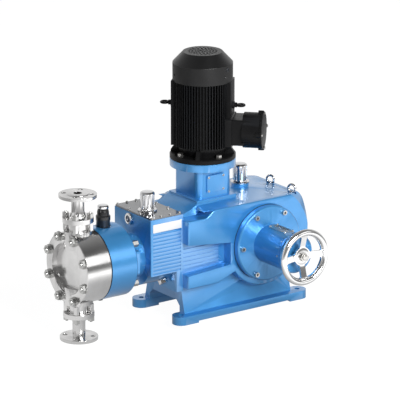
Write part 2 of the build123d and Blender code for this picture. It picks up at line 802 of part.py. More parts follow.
with BuildPart() as terminal_cover_screws:
    cover_screw_plane = terminal_plane.offset(terminal_box_end + terminal_cover_thick)
    hex_screws(cover_screw_plane, circle_places(2 * (terminal_lug_r - terminal_lug_round_r), 4), 8.0, 3.5)
terminal_cover_screws.part.label = "terminal_cover_screws"
export_step(terminal_cover_screws.part, "parts/terminal_cover_screws.step")

# Motor: windings, rotor, fan and cowl
with BuildPart() as stator:
    tube(
        motor_level.offset(rotor_low_z), motor_bore_r - bore_gap, rotor_r + 0.6,
        rotor_high_z - rotor_low_z,
    )
    for coil_z in (rotor_low_z - 14.0, rotor_high_z):
        tube(motor_level.offset(coil_z), motor_bore_r - 5.0, rotor_r + 4.0, 14.0)
stator.part.label = "stator"
export_step(stator.part, "parts/stator.step")

motor_shaft_low_z = adapter_top_z - 58.0
fan_low_z = motor_body_high_z + 15.0
fan_height = 26.0
fan_hub_r = 20.0
fan_blade_r = 74.0
with BuildPart() as rotor_shaft:
    shaft_top_z = fan_low_z + fan_height - 2.0
    tube(motor_level.offset(motor_shaft_low_z), motor_shaft_r, 0, shaft_top_z - motor_shaft_low_z)
    tube(motor_level.offset(rotor_low_z), rotor_r, 0, rotor_high_z - rotor_low_z)
rotor_shaft.part.label = "rotor_shaft"
export_step(rotor_shaft.part, "parts/rotor_shaft.step")

with BuildPart() as fan:
    with BuildSketch(motor_level.offset(fan_low_z)) as fan_plan:
        Circle(fan_hub_r)
        blade_length = fan_blade_r - fan_hub_r + 3.0
        with PolarLocations(fan_hub_r - 3.0 + blade_length / 2, 7):
            Rectangle(blade_length, 3.0)
    extrude(fan_plan.sketch, fan_height)
    tube(motor_level.offset(fan_low_z), fan_blade_r - 8.0, 0, 3.0)
    tube(
        motor_level.offset(fan_low_z - 1.0), motor_shaft_r + bore_gap, 0,
        fan_height + 2.0, mode=Mode.SUBTRACT,
    )
fan.part.label = "fan"
export_step(fan.part, "parts/fan.step")

with BuildPart() as fan_cowl:
    turned(
        [
            (motor_fin_r, motor_body_high_z),
            (motor_fin_r, cowl_step_z),
            (cowl_top_r, cowl_top_z),
            (0, cowl_top_z),
            (0, cowl_top_z - cowl_wall),
            (cowl_top_r - cowl_wall / 2, cowl_top_z - cowl_wall),
            (motor_fin_r - cowl_wall, cowl_step_z - cowl_wall / 2),
            (motor_fin_r - cowl_wall, motor_body_high_z),
        ],
        motor_plane, motor_axis,
    )
    grille_plane = motor_level.offset(cowl_top_z + 1.0)
    for ring_d, hole_count in ((28.0, 8), (46.0, 12), (64.0, 18), (82.0, 22)):
        drill(grille_plane, circle_places(ring_d, hole_count), 2 * grille_hole_r, cowl_wall + 3.0)
fan_cowl.part.label = "fan_cowl"
export_step(fan_cowl.part, "parts/fan_cowl.step")

# Drive: coupling, worm, wheel, eccentric shaft
coupling_low_z = adapter_top_z - 86.0
coupling_length = 56.0
with BuildPart() as coupling:
    turned(
        [
            (motor_shaft_r + bore_gap, coupling_low_z),
            (24.0, coupling_low_z),
            (24.0, coupling_low_z + 14.0),
            (34.0, coupling_low_z + 16.0),
            (34.0, coupling_low_z + 40.0),
            (24.0, coupling_low_z + 42.0),
            (24.0, coupling_low_z + coupling_length),
            (motor_shaft_r + bore_gap, coupling_low_z + coupling_length),
        ],
        motor_plane, motor_axis,
    )
coupling.part.label = "coupling"
export_step(coupling.part, "parts/coupling.step")

with BuildPart() as worm_shaft:
    thread_outline = [(0, axis_z - worm_half_length)]
    turns = int(2 * worm_half_length / worm_pitch)
    for number in range(turns):
        low = axis_z - worm_half_length + number * worm_pitch
        thread_outline += [
            (worm_root_r, low),
            (worm_root_r, low + worm_pitch * 0.25),
            (worm_crest_r, low + worm_pitch * 0.4),
            (worm_crest_r, low + worm_pitch * 0.6),
            (worm_root_r, low + worm_pitch * 0.75),
        ]
    thread_end = axis_z - worm_half_length + turns * worm_pitch
    thread_outline += [(worm_root_r, thread_end), (0, thread_end)]
    turned(thread_outline, motor_plane, motor_axis)
    worm_foot_z = worm_low_bearing_z + 2.0
    worm_head_z = motor_shaft_low_z - 4.0
    tube(motor_level.offset(worm_foot_z), worm_shaft_r, 0, worm_head_z - worm_foot_z)
worm_shaft.part.label = "worm_shaft"
export_step(worm_shaft.part, "parts/worm_shaft.step")

wheel_hub_r = 42.0
wheel_hub_y = 27.0
with BuildPart() as worm_wheel:
    wheel_plane = Plane(origin=(adjuster_x, -wheel_half_width, axis_z), x_dir=(-1, 0, 0), z_dir=(0, 1, 0))
    with BuildSketch(wheel_plane) as gear:
        tooth_depth = 9.0
        Circle(wheel_r - tooth_depth)
        with PolarLocations(wheel_r - tooth_depth / 2 - 1.0, wheel_teeth):
            Trapezoid(12.0, tooth_depth + 1.8, 70, rotation=-90)
        Circle(shaft_r + bore_gap, mode=Mode.SUBTRACT)
        with PolarLocations((wheel_r - tooth_depth + wheel_hub_r) / 2, 6):
            Circle(15.0, mode=Mode.SUBTRACT)
    extrude(gear.sketch, 2 * wheel_half_width)
    hub_plane = Plane(origin=(adjuster_x, -wheel_hub_y, axis_z), x_dir=(-1, 0, 0), z_dir=(0, 1, 0))
    tube(hub_plane, wheel_hub_r, shaft_r + bore_gap, 2 * wheel_hub_y)
worm_wheel.part.label = "worm_wheel"
export_step(worm_wheel.part, "parts/worm_wheel.step")

with BuildPart() as eccentric_shaft:
    shaft_front = Plane(
        origin=(adjuster_x, front_bearing_y + 1.0, axis_z), x_dir=(-1, 0, 0), z_dir=(0, 1, 0)
    )
    tube(shaft_front, shaft_r, 0, rear_bearing_y + bearing_width - front_bearing_y - 2.0)
    for disc_y in (-yoke_inner_y - yoke_plate_thick - 2.0, yoke_inner_y - 2.0):
        disc_plane = Plane(
            origin=(adjuster_x + stroke / 2, disc_y, axis_z), x_dir=(-1, 0, 0), z_dir=(0, 1, 0)
        )
        tube(disc_plane, eccentric_r, 0, yoke_plate_thick + 4.0)
eccentric_shaft.part.label = "eccentric_shaft"
export_step(eccentric_shaft.part, "parts/eccentric_shaft.step")

with BuildPart() as shaft_bearings:
    for low_z in (worm_low_bearing_z, worm_high_bearing_z):
        tube(motor_level.offset(low_z), worm_bearing_r, worm_shaft_r + run_gap, bearing_width)
    for low_y in (front_bearing_y, rear_bearing_y):
        ring_plane = Plane(origin=(adjuster_x, low_y, axis_z), x_dir=(-1, 0, 0), z_dir=(0, 1, 0))
        tube(ring_plane, eccentric_bearing_r, shaft_r + run_gap, bearing_width)
    for low_z in (motor_body_low_z, motor_body_high_z - motor_rear_shield - bearing_width):
        tube(motor_level.offset(low_z), 30.0, motor_shaft_r + run_gap, bearing_width)
shaft_bearings.part.label = "shaft_bearings"
export_step(shaft_bearings.part, "parts/shaft_bearings.step")

# Crosshead with two slotted yoke plates round the eccentrics
yoke_window_half_x = eccentric_r + stroke + 1.0
yoke_window_half_z = eccentric_r + stroke / 2 + 1.0


def yoke_outline(plane):
    """One yoke plate: a bar that ends in a window."""
    bar_end_x = adjuster_x - yoke_window_half_x
    with BuildSketch(plane) as plate:
        with Locations(((crosshead_left_x + bar_end_x) / 2, axis_z)):
            Rectangle(bar_end_x - crosshead_left_x, 2 * yoke_bar_half_z)
        with Locations((adjuster_x, axis_z)):
            RectangleRounded(
                2 * (yoke_window_half_x + yoke_rim), 2 * (yoke_window_half_z + yoke_rim), 14.0
            )
            Rectangle(2 * yoke_window_half_x, 2 * yoke_window_half_z, mode=Mode.SUBTRACT)
    return plate.sketch


with BuildPart() as crosshead_yoke:
    for plate_y in (-yoke_inner_y, yoke_inner_y + yoke_plate_thick):
        extrude(yoke_outline(Plane.XZ.offset(-plate_y)), yoke_plate_thick)
    tube(
        Plane(origin=(crosshead_left_x, 0, axis_z), x_dir=(0, 1, 0), z_dir=(1, 0, 0)),
        crosshead_r, 0, crosshead_right_x - crosshead_left_x,
    )
crosshead_yoke.part.label = "crosshead_yoke"
export_step(crosshead_yoke.part, "parts/crosshead_yoke.step")

with BuildPart() as plunger:
    turned(
        [
            (plunger_end_x, 0),
            (plunger_end_x, plunger_r - 2.0),
            (plunger_end_x + 2.0, plunger_r),
            (crosshead_left_x, plunger_r),
            (crosshead_left_x, 0),
        ],
        pump_plane, pump_axis,
    )
plunger.part.label = "plunger"
export_step(plunger.part, "parts/plunger.step")

# Hydraulic chamber: reservoir box, round belly, neck and mounting flange, cast in one piece
oil_passage_x = -250.0
sleeve_inner_end_x = -216.0
with BuildPart() as hydraulic_chamber:
    chamber_block = outline(
        [
            (chamber_left_x, chamber_low_z),
            (chamber_left_x, chamber_top_z),
            (case_left_x, chamber_top_z),
            (case_left_x, chamber_flange_low_z),
            (chamber_flange_x, chamber_flange_low_z),
            (chamber_flange_x, chamber_low_z),
        ],
        Plane.XZ,
    )
    extrude(chamber_block, chamber_half_y, both=True)
    upright_edges = hydraulic_chamber.edges().filter_by(Axis.Z).group_by(Axis.X)[0]
    fillet(upright_edges, 5.0)
    tube(
        Plane(origin=(chamber_left_x, 0, axis_z), x_dir=(0, 1, 0), z_dir=(1, 0, 0)),
        belly_r, 0, chamber_flange_x - chamber_left_x + 2.0,
    )
    with BuildSketch(Plane(origin=(disc_back_x, 0, axis_z), x_dir=(0, 1, 0), z_dir=(1, 0, 0))) as neck:
        RectangleRounded(2 * neck_half_y, neck_height_z, 8.0)
    extrude(neck.sketch, neck_lug_length)
    tube(
        Plane(origin=(disc_back_x, 0, axis_z), x_dir=(0, 1, 0), z_dir=(1, 0, 0)),
        neck_barrel_r, 0, chamber_left_x - disc_back_x + 1.0,
    )
    # Grooves that leave the ribs on both side walls
    for number in range(groove_count):
        groove_z = groove_low_z + number * groove_pitch
        for side_y in (-chamber_half_y, chamber_half_y):
            with Locations(((chamber_left_x + case_left_x) / 2, side_y, groove_z)):
                Box(
                    case_left_x - chamber_left_x - 2 * groove_end_gap, 2 * groove_depth, rib_gap,
                    mode=Mode.SUBTRACT,
                )
    # Open reservoir, passages and the bore for the plunger sleeve
    with BuildSketch(Plane.XY.offset(chamber_top_z + 1.0)) as reservoir:
        with Locations(((chamber_left_x + case_left_x) / 2, 0)):
            RectangleRounded(
                case_left_x - chamber_left_x - 2 * reservoir_wall,
                2 * (chamber_half_y - reservoir_wall), 8.0,
            )
    extrude(reservoir.sketch, -(chamber_top_z + 1.0 - reservoir_floor_z), mode=Mode.SUBTRACT)
    tube(
        Plane(origin=(sleeve_end_x, 0, axis_z), x_dir=(0, 1, 0), z_dir=(1, 0, 0)),
        sleeve_r + bore_gap, 0, case_left_x - sleeve_end_x + 1.0, mode=Mode.SUBTRACT,
    )
    tube(
        Plane(origin=(disc_back_x - 1.0, 0, axis_z), x_dir=(0, 1, 0), z_dir=(1, 0, 0)),
        30.0, 0, sleeve_end_x - disc_back_x + 2.0, mode=Mode.SUBTRACT,
    )
    with Locations((oil_passage_x, 0, reservoir_floor_z + 1.0)):
        Cylinder(4.0, 22.0, align=(Align.CENTER, Align.CENTER, Align.MAX), mode=Mode.SUBTRACT)
hydraulic_chamber.part.label = "hydraulic_chamber"
export_step(hydraulic_chamber.part, "parts/hydraulic_chamber.step")

# Sleeve of the plunger, with the packing ring behind it
with BuildPart() as plunger_sleeve:
    tube(
        Plane(origin=(sleeve_end_x, 0, axis_z), x_dir=(0, 1, 0), z_dir=(1, 0, 0)),
        sleeve_r, plunger_r + run_gap, sleeve_inner_end_x - sleeve_end_x,
    )
    tube(
        Plane(origin=(sleeve_inner_end_x + bore_gap, 0, axis_z), x_dir=(0, 1, 0), z_dir=(1, 0, 0)),
        sleeve_r - 1.0, plunger_r + run_gap, case_left_x - sleeve_inner_end_x - 2 * bore_gap,
    )
plunger_sleeve.part.label = "plunger_sleeve"
export_step(plunger_sleeve.part, "parts/plunger_sleeve.step")

cover_length = case_left_x - chamber_left_x - 4.0
cover_width = 2 * chamber_half_y - 4.0
cover_centre_x = (chamber_left_x + case_left_x) / 2
with BuildPart() as reservoir_cover:
    with BuildSketch(Plane(origin=(cover_centre_x, 0, chamber_top_z))) as cover_plan:
        RectangleRounded(cover_length, cover_width, 5.0)
    extrude(cover_plan.sketch, reservoir_cover_thick)
reservoir_cover.part.label = "reservoir_cover"
export_step(reservoir_cover.part, "parts/reservoir_cover.step")

edge_inset = 6.0
cover_edge_x = cover_length / 2 - edge_inset
cover_edge_y = cover_width / 2 - edge_inset
cover_screws_long = [(x, y * cover_edge_y / 3) for x in (-cover_edge_x, cover_edge_x) for y in (-3, -1, 1, 3)]
cover_screws_short = [(x * cover_edge_x / 3, y) for x in (-1, 1) for y in (-cover_edge_y, cover_edge_y)]
with BuildPart() as reservoir_cover_screws:
    socket_screws(
        Plane(origin=(cover_centre_x, 0, chamber_top_z + reservoir_cover_thick)),
        cover_screws_long + cover_screws_short, 8.0, 4.0,
    )
reservoir_cover_screws.part.label = "reservoir_cover_screws"
export_step(reservoir_cover_screws.part, "parts/reservoir_cover_screws.step")

with BuildPart() as reservoir_breather:
    vent_cap(reservoir_breather_seat)
reservoir_breather.part.label = "reservoir_breather"
export_step(reservoir_breather.part, "parts/reservoir_breather.step")

# Oil sight glass on the left wall
glass_plane = Plane(origin=(chamber_left_x, 14.0, 318.0), x_dir=(0, -1, 0), z_dir=(-1, 0, 0))
glass_ring_r = 18.0
glass_ring_bore_r = 11.0
with BuildPart() as sight_glass:
    tube(glass_plane, glass_ring_r, glass_ring_bore_r, 7.0)
    chamfer(sight_glass.faces().sort_by(Axis.X)[0].outer_wire().edges(), 2.0)
    tube(glass_plane, glass_ring_bore_r - bore_gap, 0, 4.0)
sight_glass.part.label = "sight_glass"
export_step(sight_glass.part, "parts/sight_glass.step")

# Hexagon drain plug low on the belly
drain_angle = radians(-124.0)
drain_out = Vector(0, cos(drain_angle), sin(drain_angle))
with BuildPart() as drain_plug:
    drain_plane = Plane(origin=Vector(oil_passage_x, 0, axis_z) + drain_out * (belly_r + run_gap), z_dir=drain_out)
    tube(drain_plane, 15.0, 0, 3.0)
    with BuildSketch(drain_plane.offset(3.0)) as drain_hexagon:
        RegularPolygon(12.0, 6, major_radius=False)
    extrude(drain_hexagon.sketch, 10.0)
drain_plug.part.label = "drain_plug"
export_step(drain_plug.part, "parts/drain_plug.step")

# Wet end: intermediate disc, diaphragm, support plate and pump head
disc_bolt_places = [
    (disc_bolt_pcd / 2 * cos(radians(angle)), disc_bolt_pcd / 2 * sin(radians(angle)))
    for angle in (40.0, 140.0, 220.0, 320.0)
]
disc_back_plane = Plane(origin=(disc_back_x, 0, axis_z), x_dir=(0, 1, 0), z_dir=(1, 0, 0))
spot_reach = disc_r - 3.0
relief_x = -428.0
support_x = disc_front_x + dish_depth
with BuildPart() as intermediate_disc:
    turned(
        [
            (disc_front_x, 30.0),
            (disc_front_x, disc_r),
            (disc_back_x - disc_edge_bevel, disc_r),
            (disc_back_x, disc_r - disc_edge_bevel),
            (disc_back_x, 30.0),
        ],
        pump_plane, pump_axis,
    )
    turned(
        [
            (disc_front_x - 1.0, 0),
            (disc_front_x - 1.0, dish_r),
            (support_x, dish_r),
            (support_x, 0),
        ],
        pump_plane, pump_axis, mode=Mode.SUBTRACT,
    )
    for spot_plane in (
        Plane(origin=(relief_x, 0, axis_z + spot_reach)),
        Plane(origin=(relief_x - 14.0, 0, axis_z - spot_reach), x_dir=(1, 0, 0), z_dir=(0, 0, -1)),
    ):
        tube(spot_plane, 24.0, 0, 10.0, mode=Mode.SUBTRACT)
intermediate_disc.part.label = "intermediate_disc"
export_step(intermediate_disc.part, "parts/intermediate_disc.step")

with BuildPart() as disc_bolts:
    hex_screws(disc_back_plane, disc_bolt_places, 19.0, 20.0)
disc_bolts.part.label = "disc_bolts"
export_step(disc_bolts.part, "parts/disc_bolts.step")

with BuildPart() as support_plate:
    support_plane = Plane(origin=(support_x - 5.0, 0, axis_z), x_dir=(0, 1, 0), z_dir=(1, 0, 0))
    tube(support_plane, dish_r - bore_gap, 0, 5.0)
    for ring_d, hole_count in ((40.0, 6), (84.0, 10), (126.0, 14)):
        with BuildSketch(support_plane) as oil_holes:
            with Locations(*circle_places(ring_d, hole_count)):
                Circle(4.0)
        extrude(oil_holes.sketch, 5.0, mode=Mode.SUBTRACT)
support_plate.part.label = "support_plate"
export_step(support_plate.part, "parts/support_plate.step")

head_back_x = disc_front_x - diaphragm_thick
head_bolt_places = circle_places(head_bolt_pcd, head_bolt_count, 22.5)
with BuildPart() as diaphragm:
    turned(
        [
            (head_back_x, 0),
            (head_back_x, disc_r - 1.5),
            (disc_front_x, disc_r - 1.5),
            (disc_front_x, 0),
        ],
        pump_plane, pump_axis,
    )
    with BuildSketch(Plane(origin=(head_back_x, 0, axis_z), x_dir=(0, 1, 0), z_dir=(1, 0, 0))) as rim_holes:
        with Locations(*head_bolt_places):
            Circle(head_bolt_d / 2 + bore_gap)
    extrude(rim_holes.sketch, diaphragm_thick, mode=Mode.SUBTRACT)
diaphragm.part.label = "diaphragm"
export_step(diaphragm.part, "parts/diaphragm.step")

# Check valves: a ball rests on the lower seat of each one and lifts with the flow
seat_drop = sqrt(ball_r**2 - seat_bore_r**2)
stop_rise = sqrt(ball_r**2 - port_bore_r**2)
discharge_seat_top = axis_z + boss_reach + seat_thick
discharge_ball_z = discharge_seat_top + seat_drop + seat_lift
discharge_stop_z = discharge_ball_z + ball_lift + stop_rise + run_gap
suction_seat_low = axis_z - valve_body_reach
suction_seat_top = suction_seat_low + seat_thick
suction_ball_z = suction_seat_top + seat_drop + seat_lift
suction_stop_z = suction_ball_z + ball_lift + stop_rise + run_gap
stud_places = circle_places(valve_stud_pcd, 4, 45.0)
port_places = circle_places(port_pcd, 4, 45.0)


def port_plane(side, reach):
    """A plane across the valve axis that faces away from the head."""
    return Plane(origin=(valve_x, 0, axis_z + side * reach), x_dir=(1, 0, 0), z_dir=(0, 0, side))


def level_tube(low_z, high_z, outer_r, inner_r, mode=Mode.ADD):
    """An upright tube on the valve axis."""
    tube(Plane(origin=(valve_x, 0, low_z)), outer_r, inner_r, high_z - low_z, mode=mode)


head_front_plane = Plane(origin=(head_front_x, 0, axis_z), x_dir=(0, -1, 0), z_dir=(-1, 0, 0))
fluid_dish_depth = 8.0
with BuildPart() as pump_head:
    turned(
        [
            (head_front_x, 0),
            (head_front_x, disc_r - 2.0),
            (head_front_x + 2.0, disc_r),
            (head_back_x, disc_r),
            (head_back_x, 0),
        ],
        pump_plane, pump_axis,
    )
    # Front recess with round lands for the bolts
    with BuildSketch(head_front_plane) as recess:
        Circle(head_recess_r)
        with Locations(*head_bolt_places):
            Circle(head_bolt_af / 2 + 8.0, mode=Mode.SUBTRACT)
    extrude(recess.sketch, -head_recess_depth, mode=Mode.SUBTRACT)
    turned(
        [
            (head_back_x - fluid_dish_depth, 0),
            (head_back_x - fluid_dish_depth, 30.0),
            (head_back_x, dish_r),
            (head_back_x, 0),
        ],
        pump_plane, pump_axis, mode=Mode.SUBTRACT,
    )
    for side in (-1, 1):
        tube(port_plane(side, boss_start), valve_flange_r - 4.0, 0, boss_reach - boss_start)
    for side in (-1, 1):
        tube(port_plane(side, 0), port_bore_r, 0, boss_reach + 1.0, mode=Mode.SUBTRACT)
    level_tube(axis_z - boss_reach - 1.0, suction_stop_z, chamber_r, 0, mode=Mode.SUBTRACT)
    tube(
        Plane(origin=(valve_x, 0, axis_z), x_dir=(0, 1, 0), z_dir=(1, 0, 0)), port_bore_r, 0,
        head_back_x - valve_x, mode=Mode.SUBTRACT,
    )
    drill(head_front_plane, head_bolt_places, head_bolt_d + 2 * bore_gap, head_back_x - head_front_x + 1.0)
pump_head.part.label = "pump_head"
export_step(pump_head.part, "parts/pump_head.step")

with BuildPart() as head_bolts:
    head_bolt_length = disc_front_x - head_front_x
    hex_screws(
        head_front_plane, head_bolt_places, head_bolt_af, head_nut_height,
        head_bolt_d, head_bolt_length,
    )
    stud_ends(head_front_plane.offset(head_nut_height), head_bolt_places, head_bolt_d)
head_bolts.part.label = "head_bolts"
export_step(head_bolts.part, "parts/head_bolts.step")

# Relief valve on top of the disc and a plug below it
relief_plane = Plane(origin=(relief_x, 0, axis_z + spot_reach), x_dir=(1, 0, 0), z_dir=(0, -1, 0))
relief_axis = Axis((relief_x, 0, 0), (0, 0, 1))
relief_r = 22.0
relief_height = 58.0
with BuildPart() as relief_valve:
    turned(
        [
            (0, 0), (relief_r - 1.0, 0), (relief_r - 1.0, 20.0), (relief_r, 22.0),
            (relief_r, 34.0), (relief_r - 4.0, 37.0), (relief_r - 4.0, 46.0),
            (relief_r - 6.0, relief_height - 4.0), (relief_r - 6.0, relief_height), (0, relief_height),
        ],
        relief_plane, relief_axis,
    )
relief_valve.part.label = "relief_valve"
export_step(relief_valve.part, "parts/relief_valve.step")

with BuildPart() as relief_valve_cap:
    turned(
        [
            (0, relief_height), (relief_r - 5.0, relief_height), (relief_r - 5.0, relief_height + 6.0),
            (relief_r - 8.0, relief_height + 9.0), (0, relief_height + 9.0),
        ],
        relief_plane, relief_axis,
    )
relief_valve_cap.part.label = "relief_valve_cap"
export_step(relief_valve_cap.part, "parts/relief_valve_cap.step")

with BuildPart() as disc_plug:
    plug_plane = Plane(origin=(relief_x - 14.0, 0, axis_z - spot_reach), x_dir=(1, 0, 0), z_dir=(0, 0, -1))
    tube(plug_plane, 11.0, 0, 4.0)
    with BuildSketch(plug_plane.offset(4.0)) as plug_hexagon:
        RegularPolygon(8.5, 6, major_radius=False)
    extrude(plug_hexagon.sketch, 7.0)
disc_plug.part.label = "disc_plug"
export_step(disc_plug.part, "parts/disc_plug.step")

def valve_body(side):
    """The block between the head and the connection piece, with room for the ball."""
    tube(port_plane(side, boss_reach), valve_body_r - 8.0, 0, valve_body_reach - boss_reach)
    hex_screws(port_plane(side, boss_reach), stud_places, 17.0, valve_body_reach - boss_reach)


def connection(side):
    """Clamp flange, tapered neck and pipe flange, turned in one piece."""
    neck_start = valve_flange_reach
    flange_start = port_reach - port_flange_thick
    raised_face = 2.0
    plane = Plane(origin=(valve_x, 0, axis_z), x_dir=(1, 0, 0), z_dir=(0, -side, 0))
    turned(
        [
            (port_bore_r, valve_body_reach),
            (valve_flange_r, valve_body_reach),
            (valve_flange_r, neck_start),
            (port_neck_r + 5.0, neck_start),
            (port_neck_r, neck_start + 18.0),
            (port_neck_r, flange_start),
            (port_flange_r, flange_start),
            (port_flange_r, port_reach - raised_face),
            (34.0, port_reach - raised_face),
            (34.0, port_reach),
            (port_bore_r, port_reach),
        ],
        plane, valve_axis,
    )
    drill(port_plane(side, port_reach), port_places, port_hole_d, port_flange_thick + 1.0)


with BuildPart() as discharge_valve_body:
    valve_body(1)
    level_tube(
        axis_z + boss_reach - 1.0, axis_z + valve_body_reach + 1.0, chamber_r, 0, mode=Mode.SUBTRACT
    )
    level_tube(
        axis_z + boss_reach - 1.0, discharge_seat_top, seat_r + bore_gap, 0, mode=Mode.SUBTRACT
    )
discharge_valve_body.part.label = "discharge_valve_body"
export_step(discharge_valve_body.part, "parts/discharge_valve_body.step")

with BuildPart() as discharge_seat:
    level_tube(axis_z + boss_reach, discharge_seat_top, seat_r, seat_bore_r)
discharge_seat.part.label = "discharge_seat"
export_step(discharge_seat.part, "parts/discharge_seat.step")

with BuildPart() as discharge_ball:
    with Locations((valve_x, 0, discharge_ball_z)):
        Sphere(ball_r)
discharge_ball.part.label = "discharge_ball"
export_step(discharge_ball.part, "parts/discharge_ball.step")

with BuildPart() as discharge_connection:
    connection(1)
    level_tube(
        axis_z + valve_body_reach - 1.0, discharge_stop_z, chamber_r, 0, mode=Mode.SUBTRACT
    )
discharge_connection.part.label = "discharge_connection"
export_step(discharge_connection.part, "parts/discharge_connection.step")

with BuildPart() as discharge_bolts:
    hex_screws(port_plane(1, valve_flange_reach), stud_places, valve_nut_af, valve_nut_height)
    stud_ends(port_plane(1, valve_flange_reach + valve_nut_height), stud_places, valve_stud_d)
discharge_bolts.part.label = "discharge_bolts"
export_step(discharge_bolts.part, "parts/discharge_bolts.step")

with BuildPart() as suction_valve_body:
    valve_body(-1)
    level_tube(
        axis_z - valve_body_reach - 1.0, axis_z - boss_reach + 1.0, chamber_r, 0, mode=Mode.SUBTRACT
    )
    level_tube(
        axis_z - valve_body_reach - 1.0, suction_seat_top, seat_r + bore_gap, 0, mode=Mode.SUBTRACT
    )
suction_valve_body.part.label = "suction_valve_body"
export_step(suction_valve_body.part, "parts/suction_valve_body.step")

with BuildPart() as suction_seat:
    level_tube(suction_seat_low, suction_seat_top, seat_r, seat_bore_r)
suction_seat.part.label = "suction_seat"
export_step(suction_seat.part, "parts/suction_seat.step")

with BuildPart() as suction_ball:
    with Locations((valve_x, 0, suction_ball_z)):
        Sphere(ball_r)
suction_ball.part.label = "suction_ball"
export_step(suction_ball.part, "parts/suction_ball.step")

with BuildPart() as suction_connection:
    connection(-1)
suction_connection.part.label = "suction_connection"
export_step(suction_connection.part, "parts/suction_connection.step")

with BuildPart() as suction_bolts:
    hex_screws(port_plane(-1, valve_flange_reach), stud_places, valve_nut_af, valve_nut_height)
    stud_ends(port_plane(-1, valve_flange_reach + valve_nut_height), stud_places, valve_stud_d)
suction_bolts.part.label = "suction_bolts"
export_step(suction_bolts.part, "parts/suction_bolts.step")

# Stroke adjuster: flange and tube, cast in one piece, with a window over the scale
window_low = adjuster_flange_thick + window_start
adjuster_end = adjuster_flange_thick + adjuster_tube_length
with BuildPart() as adjuster_housing:
    turned(
        [
            (-adjuster_spigot_length, adjuster_tube_bore_r),
            (-adjuster_spigot_length, adjuster_spigot_r),
            (0, adjuster_spigot_r),
            (0, adjuster_flange_r),
            (adjuster_flange_thick - 4.0, adjuster_flange_r),
            (adjuster_flange_thick, adjuster_flange_r - 4.0),
            (adjuster_flange_thick, adjuster_tube_r),
            (adjuster_end, adjuster_tube_r),
            (adjuster_end, adjuster_tube_bore_r),
        ],
        Plane(origin=(adjuster_x, -case_half_y, axis_z), x_dir=(0, -1, 0), z_dir=(-1, 0, 0)),
        adjuster_axis,
    )
    drill(
        flange_front, adjuster_hole_places, adjuster_screw_d + 2 * bore_gap, adjuster_flange_thick + 1.0
    )
    window_centre_y = -case_half_y - window_low - window_length / 2
    with BuildSketch(Plane(origin=(adjuster_x, window_centre_y, axis_z))) as scale_slot:
        Rectangle(2 * window_half_width, window_length)
    extrude(scale_slot.sketch, adjuster_tube_r + 1.0, mode=Mode.SUBTRACT)
adjuster_housing.part.label = "adjuster_housing"
export_step(adjuster_housing.part, "parts/adjuster_housing.step")

with BuildPart() as adjuster_screws:
    socket_screws(
        flange_front, adjuster_hole_places, 1.5 * adjuster_screw_d, adjuster_screw_d,
        adjuster_screw_d, adjuster_flange_thick + 12.0,
    )
adjuster_screws.part.label = "adjuster_screws"
export_step(adjuster_screws.part, "parts/adjuster_screws.step")

with BuildPart() as adjuster_end_cap:
    tube(tube_end, adjuster_tube_r, 0, end_cap_thick)
    chamfer(adjuster_end_cap.faces().sort_by(Axis.Y)[0].outer_wire().edges(), 5.0)
    tube(tube_end, adjuster_tube_bore_r - bore_gap, 0, -8.0)
    tube(tube_end.offset(-9.0), spindle_r + run_gap, 0, end_cap_thick + 20.0, mode=Mode.SUBTRACT)
adjuster_end_cap.part.label = "adjuster_end_cap"
export_step(adjuster_end_cap.part, "parts/adjuster_end_cap.step")

# Frame of the scale window, bent to the tube
frame_thick = 3.5
frame_margin = 9.0
with BuildPart() as scale_window:
    window_back = Plane(
        origin=(adjuster_x, window_centre_y + window_length / 2 + frame_margin, axis_z),
        x_dir=(1, 0, 0), z_dir=(0, -1, 0),
    )
    tube(
        window_back, adjuster_tube_r + bore_gap + frame_thick, adjuster_tube_r + bore_gap,
        window_length + 2 * frame_margin,
    )
    with BuildSketch(Plane(origin=(adjuster_x, window_centre_y, axis_z))) as frame_plan:
        RectangleRounded(
            2 * (window_half_width + frame_margin), window_length + 2 * frame_margin, 4.0
        )
        RectangleRounded(2 * window_half_width - 4.0, window_length - 4.0, 3.0, mode=Mode.SUBTRACT)
    extrude(frame_plan.sketch, adjuster_tube_r + 10.0, mode=Mode.INTERSECT)
scale_window.part.label = "scale_window"
export_step(scale_window.part, "parts/scale_window.step")

# Pointer nut that travels on the spindle
pointer_thick = 18.0
with BuildPart() as scale_pointer:
    nut_plane = Plane(
        origin=(adjuster_x, window_centre_y + pointer_thick / 2, axis_z), x_dir=(1, 0, 0), z_dir=(0, -1, 0)
    )
    tube(nut_plane, adjuster_tube_bore_r - run_gap, spindle_r + run_gap, pointer_thick)
    with BuildSketch(Plane(origin=(adjuster_x, window_centre_y, axis_z + adjuster_tube_bore_r - 6.0))) as finger:
        Rectangle(2 * window_half_width - 2.0, 4.0)
    extrude(finger.sketch, adjuster_tube_r - adjuster_tube_bore_r + 4.0)
scale_pointer.part.label = "scale_pointer"
export_step(scale_pointer.part, "parts/scale_pointer.step")

wheel_forward = adjuster_flange_thick + handwheel_reach
hub_start = wheel_forward - 28.0
hub_end = wheel_forward - 8.0
web_half = handwheel_web_thick / 2
rim_centre_r = handwheel_r - handwheel_rim_r
with BuildPart() as adjusting_spindle:
    spindle_start = -adjuster_spigot_length + 4.0
    tube(adjuster_front.offset(spindle_start), spindle_r, 0, hub_end - 1.0 - spindle_start)
    tube(adjuster_front.offset(adjuster_end + end_cap_thick + run_gap), spindle_r + 5.0, 0, 6.0)
adjusting_spindle.part.label = "adjusting_spindle"
export_step(adjusting_spindle.part, "parts/adjusting_spindle.step")

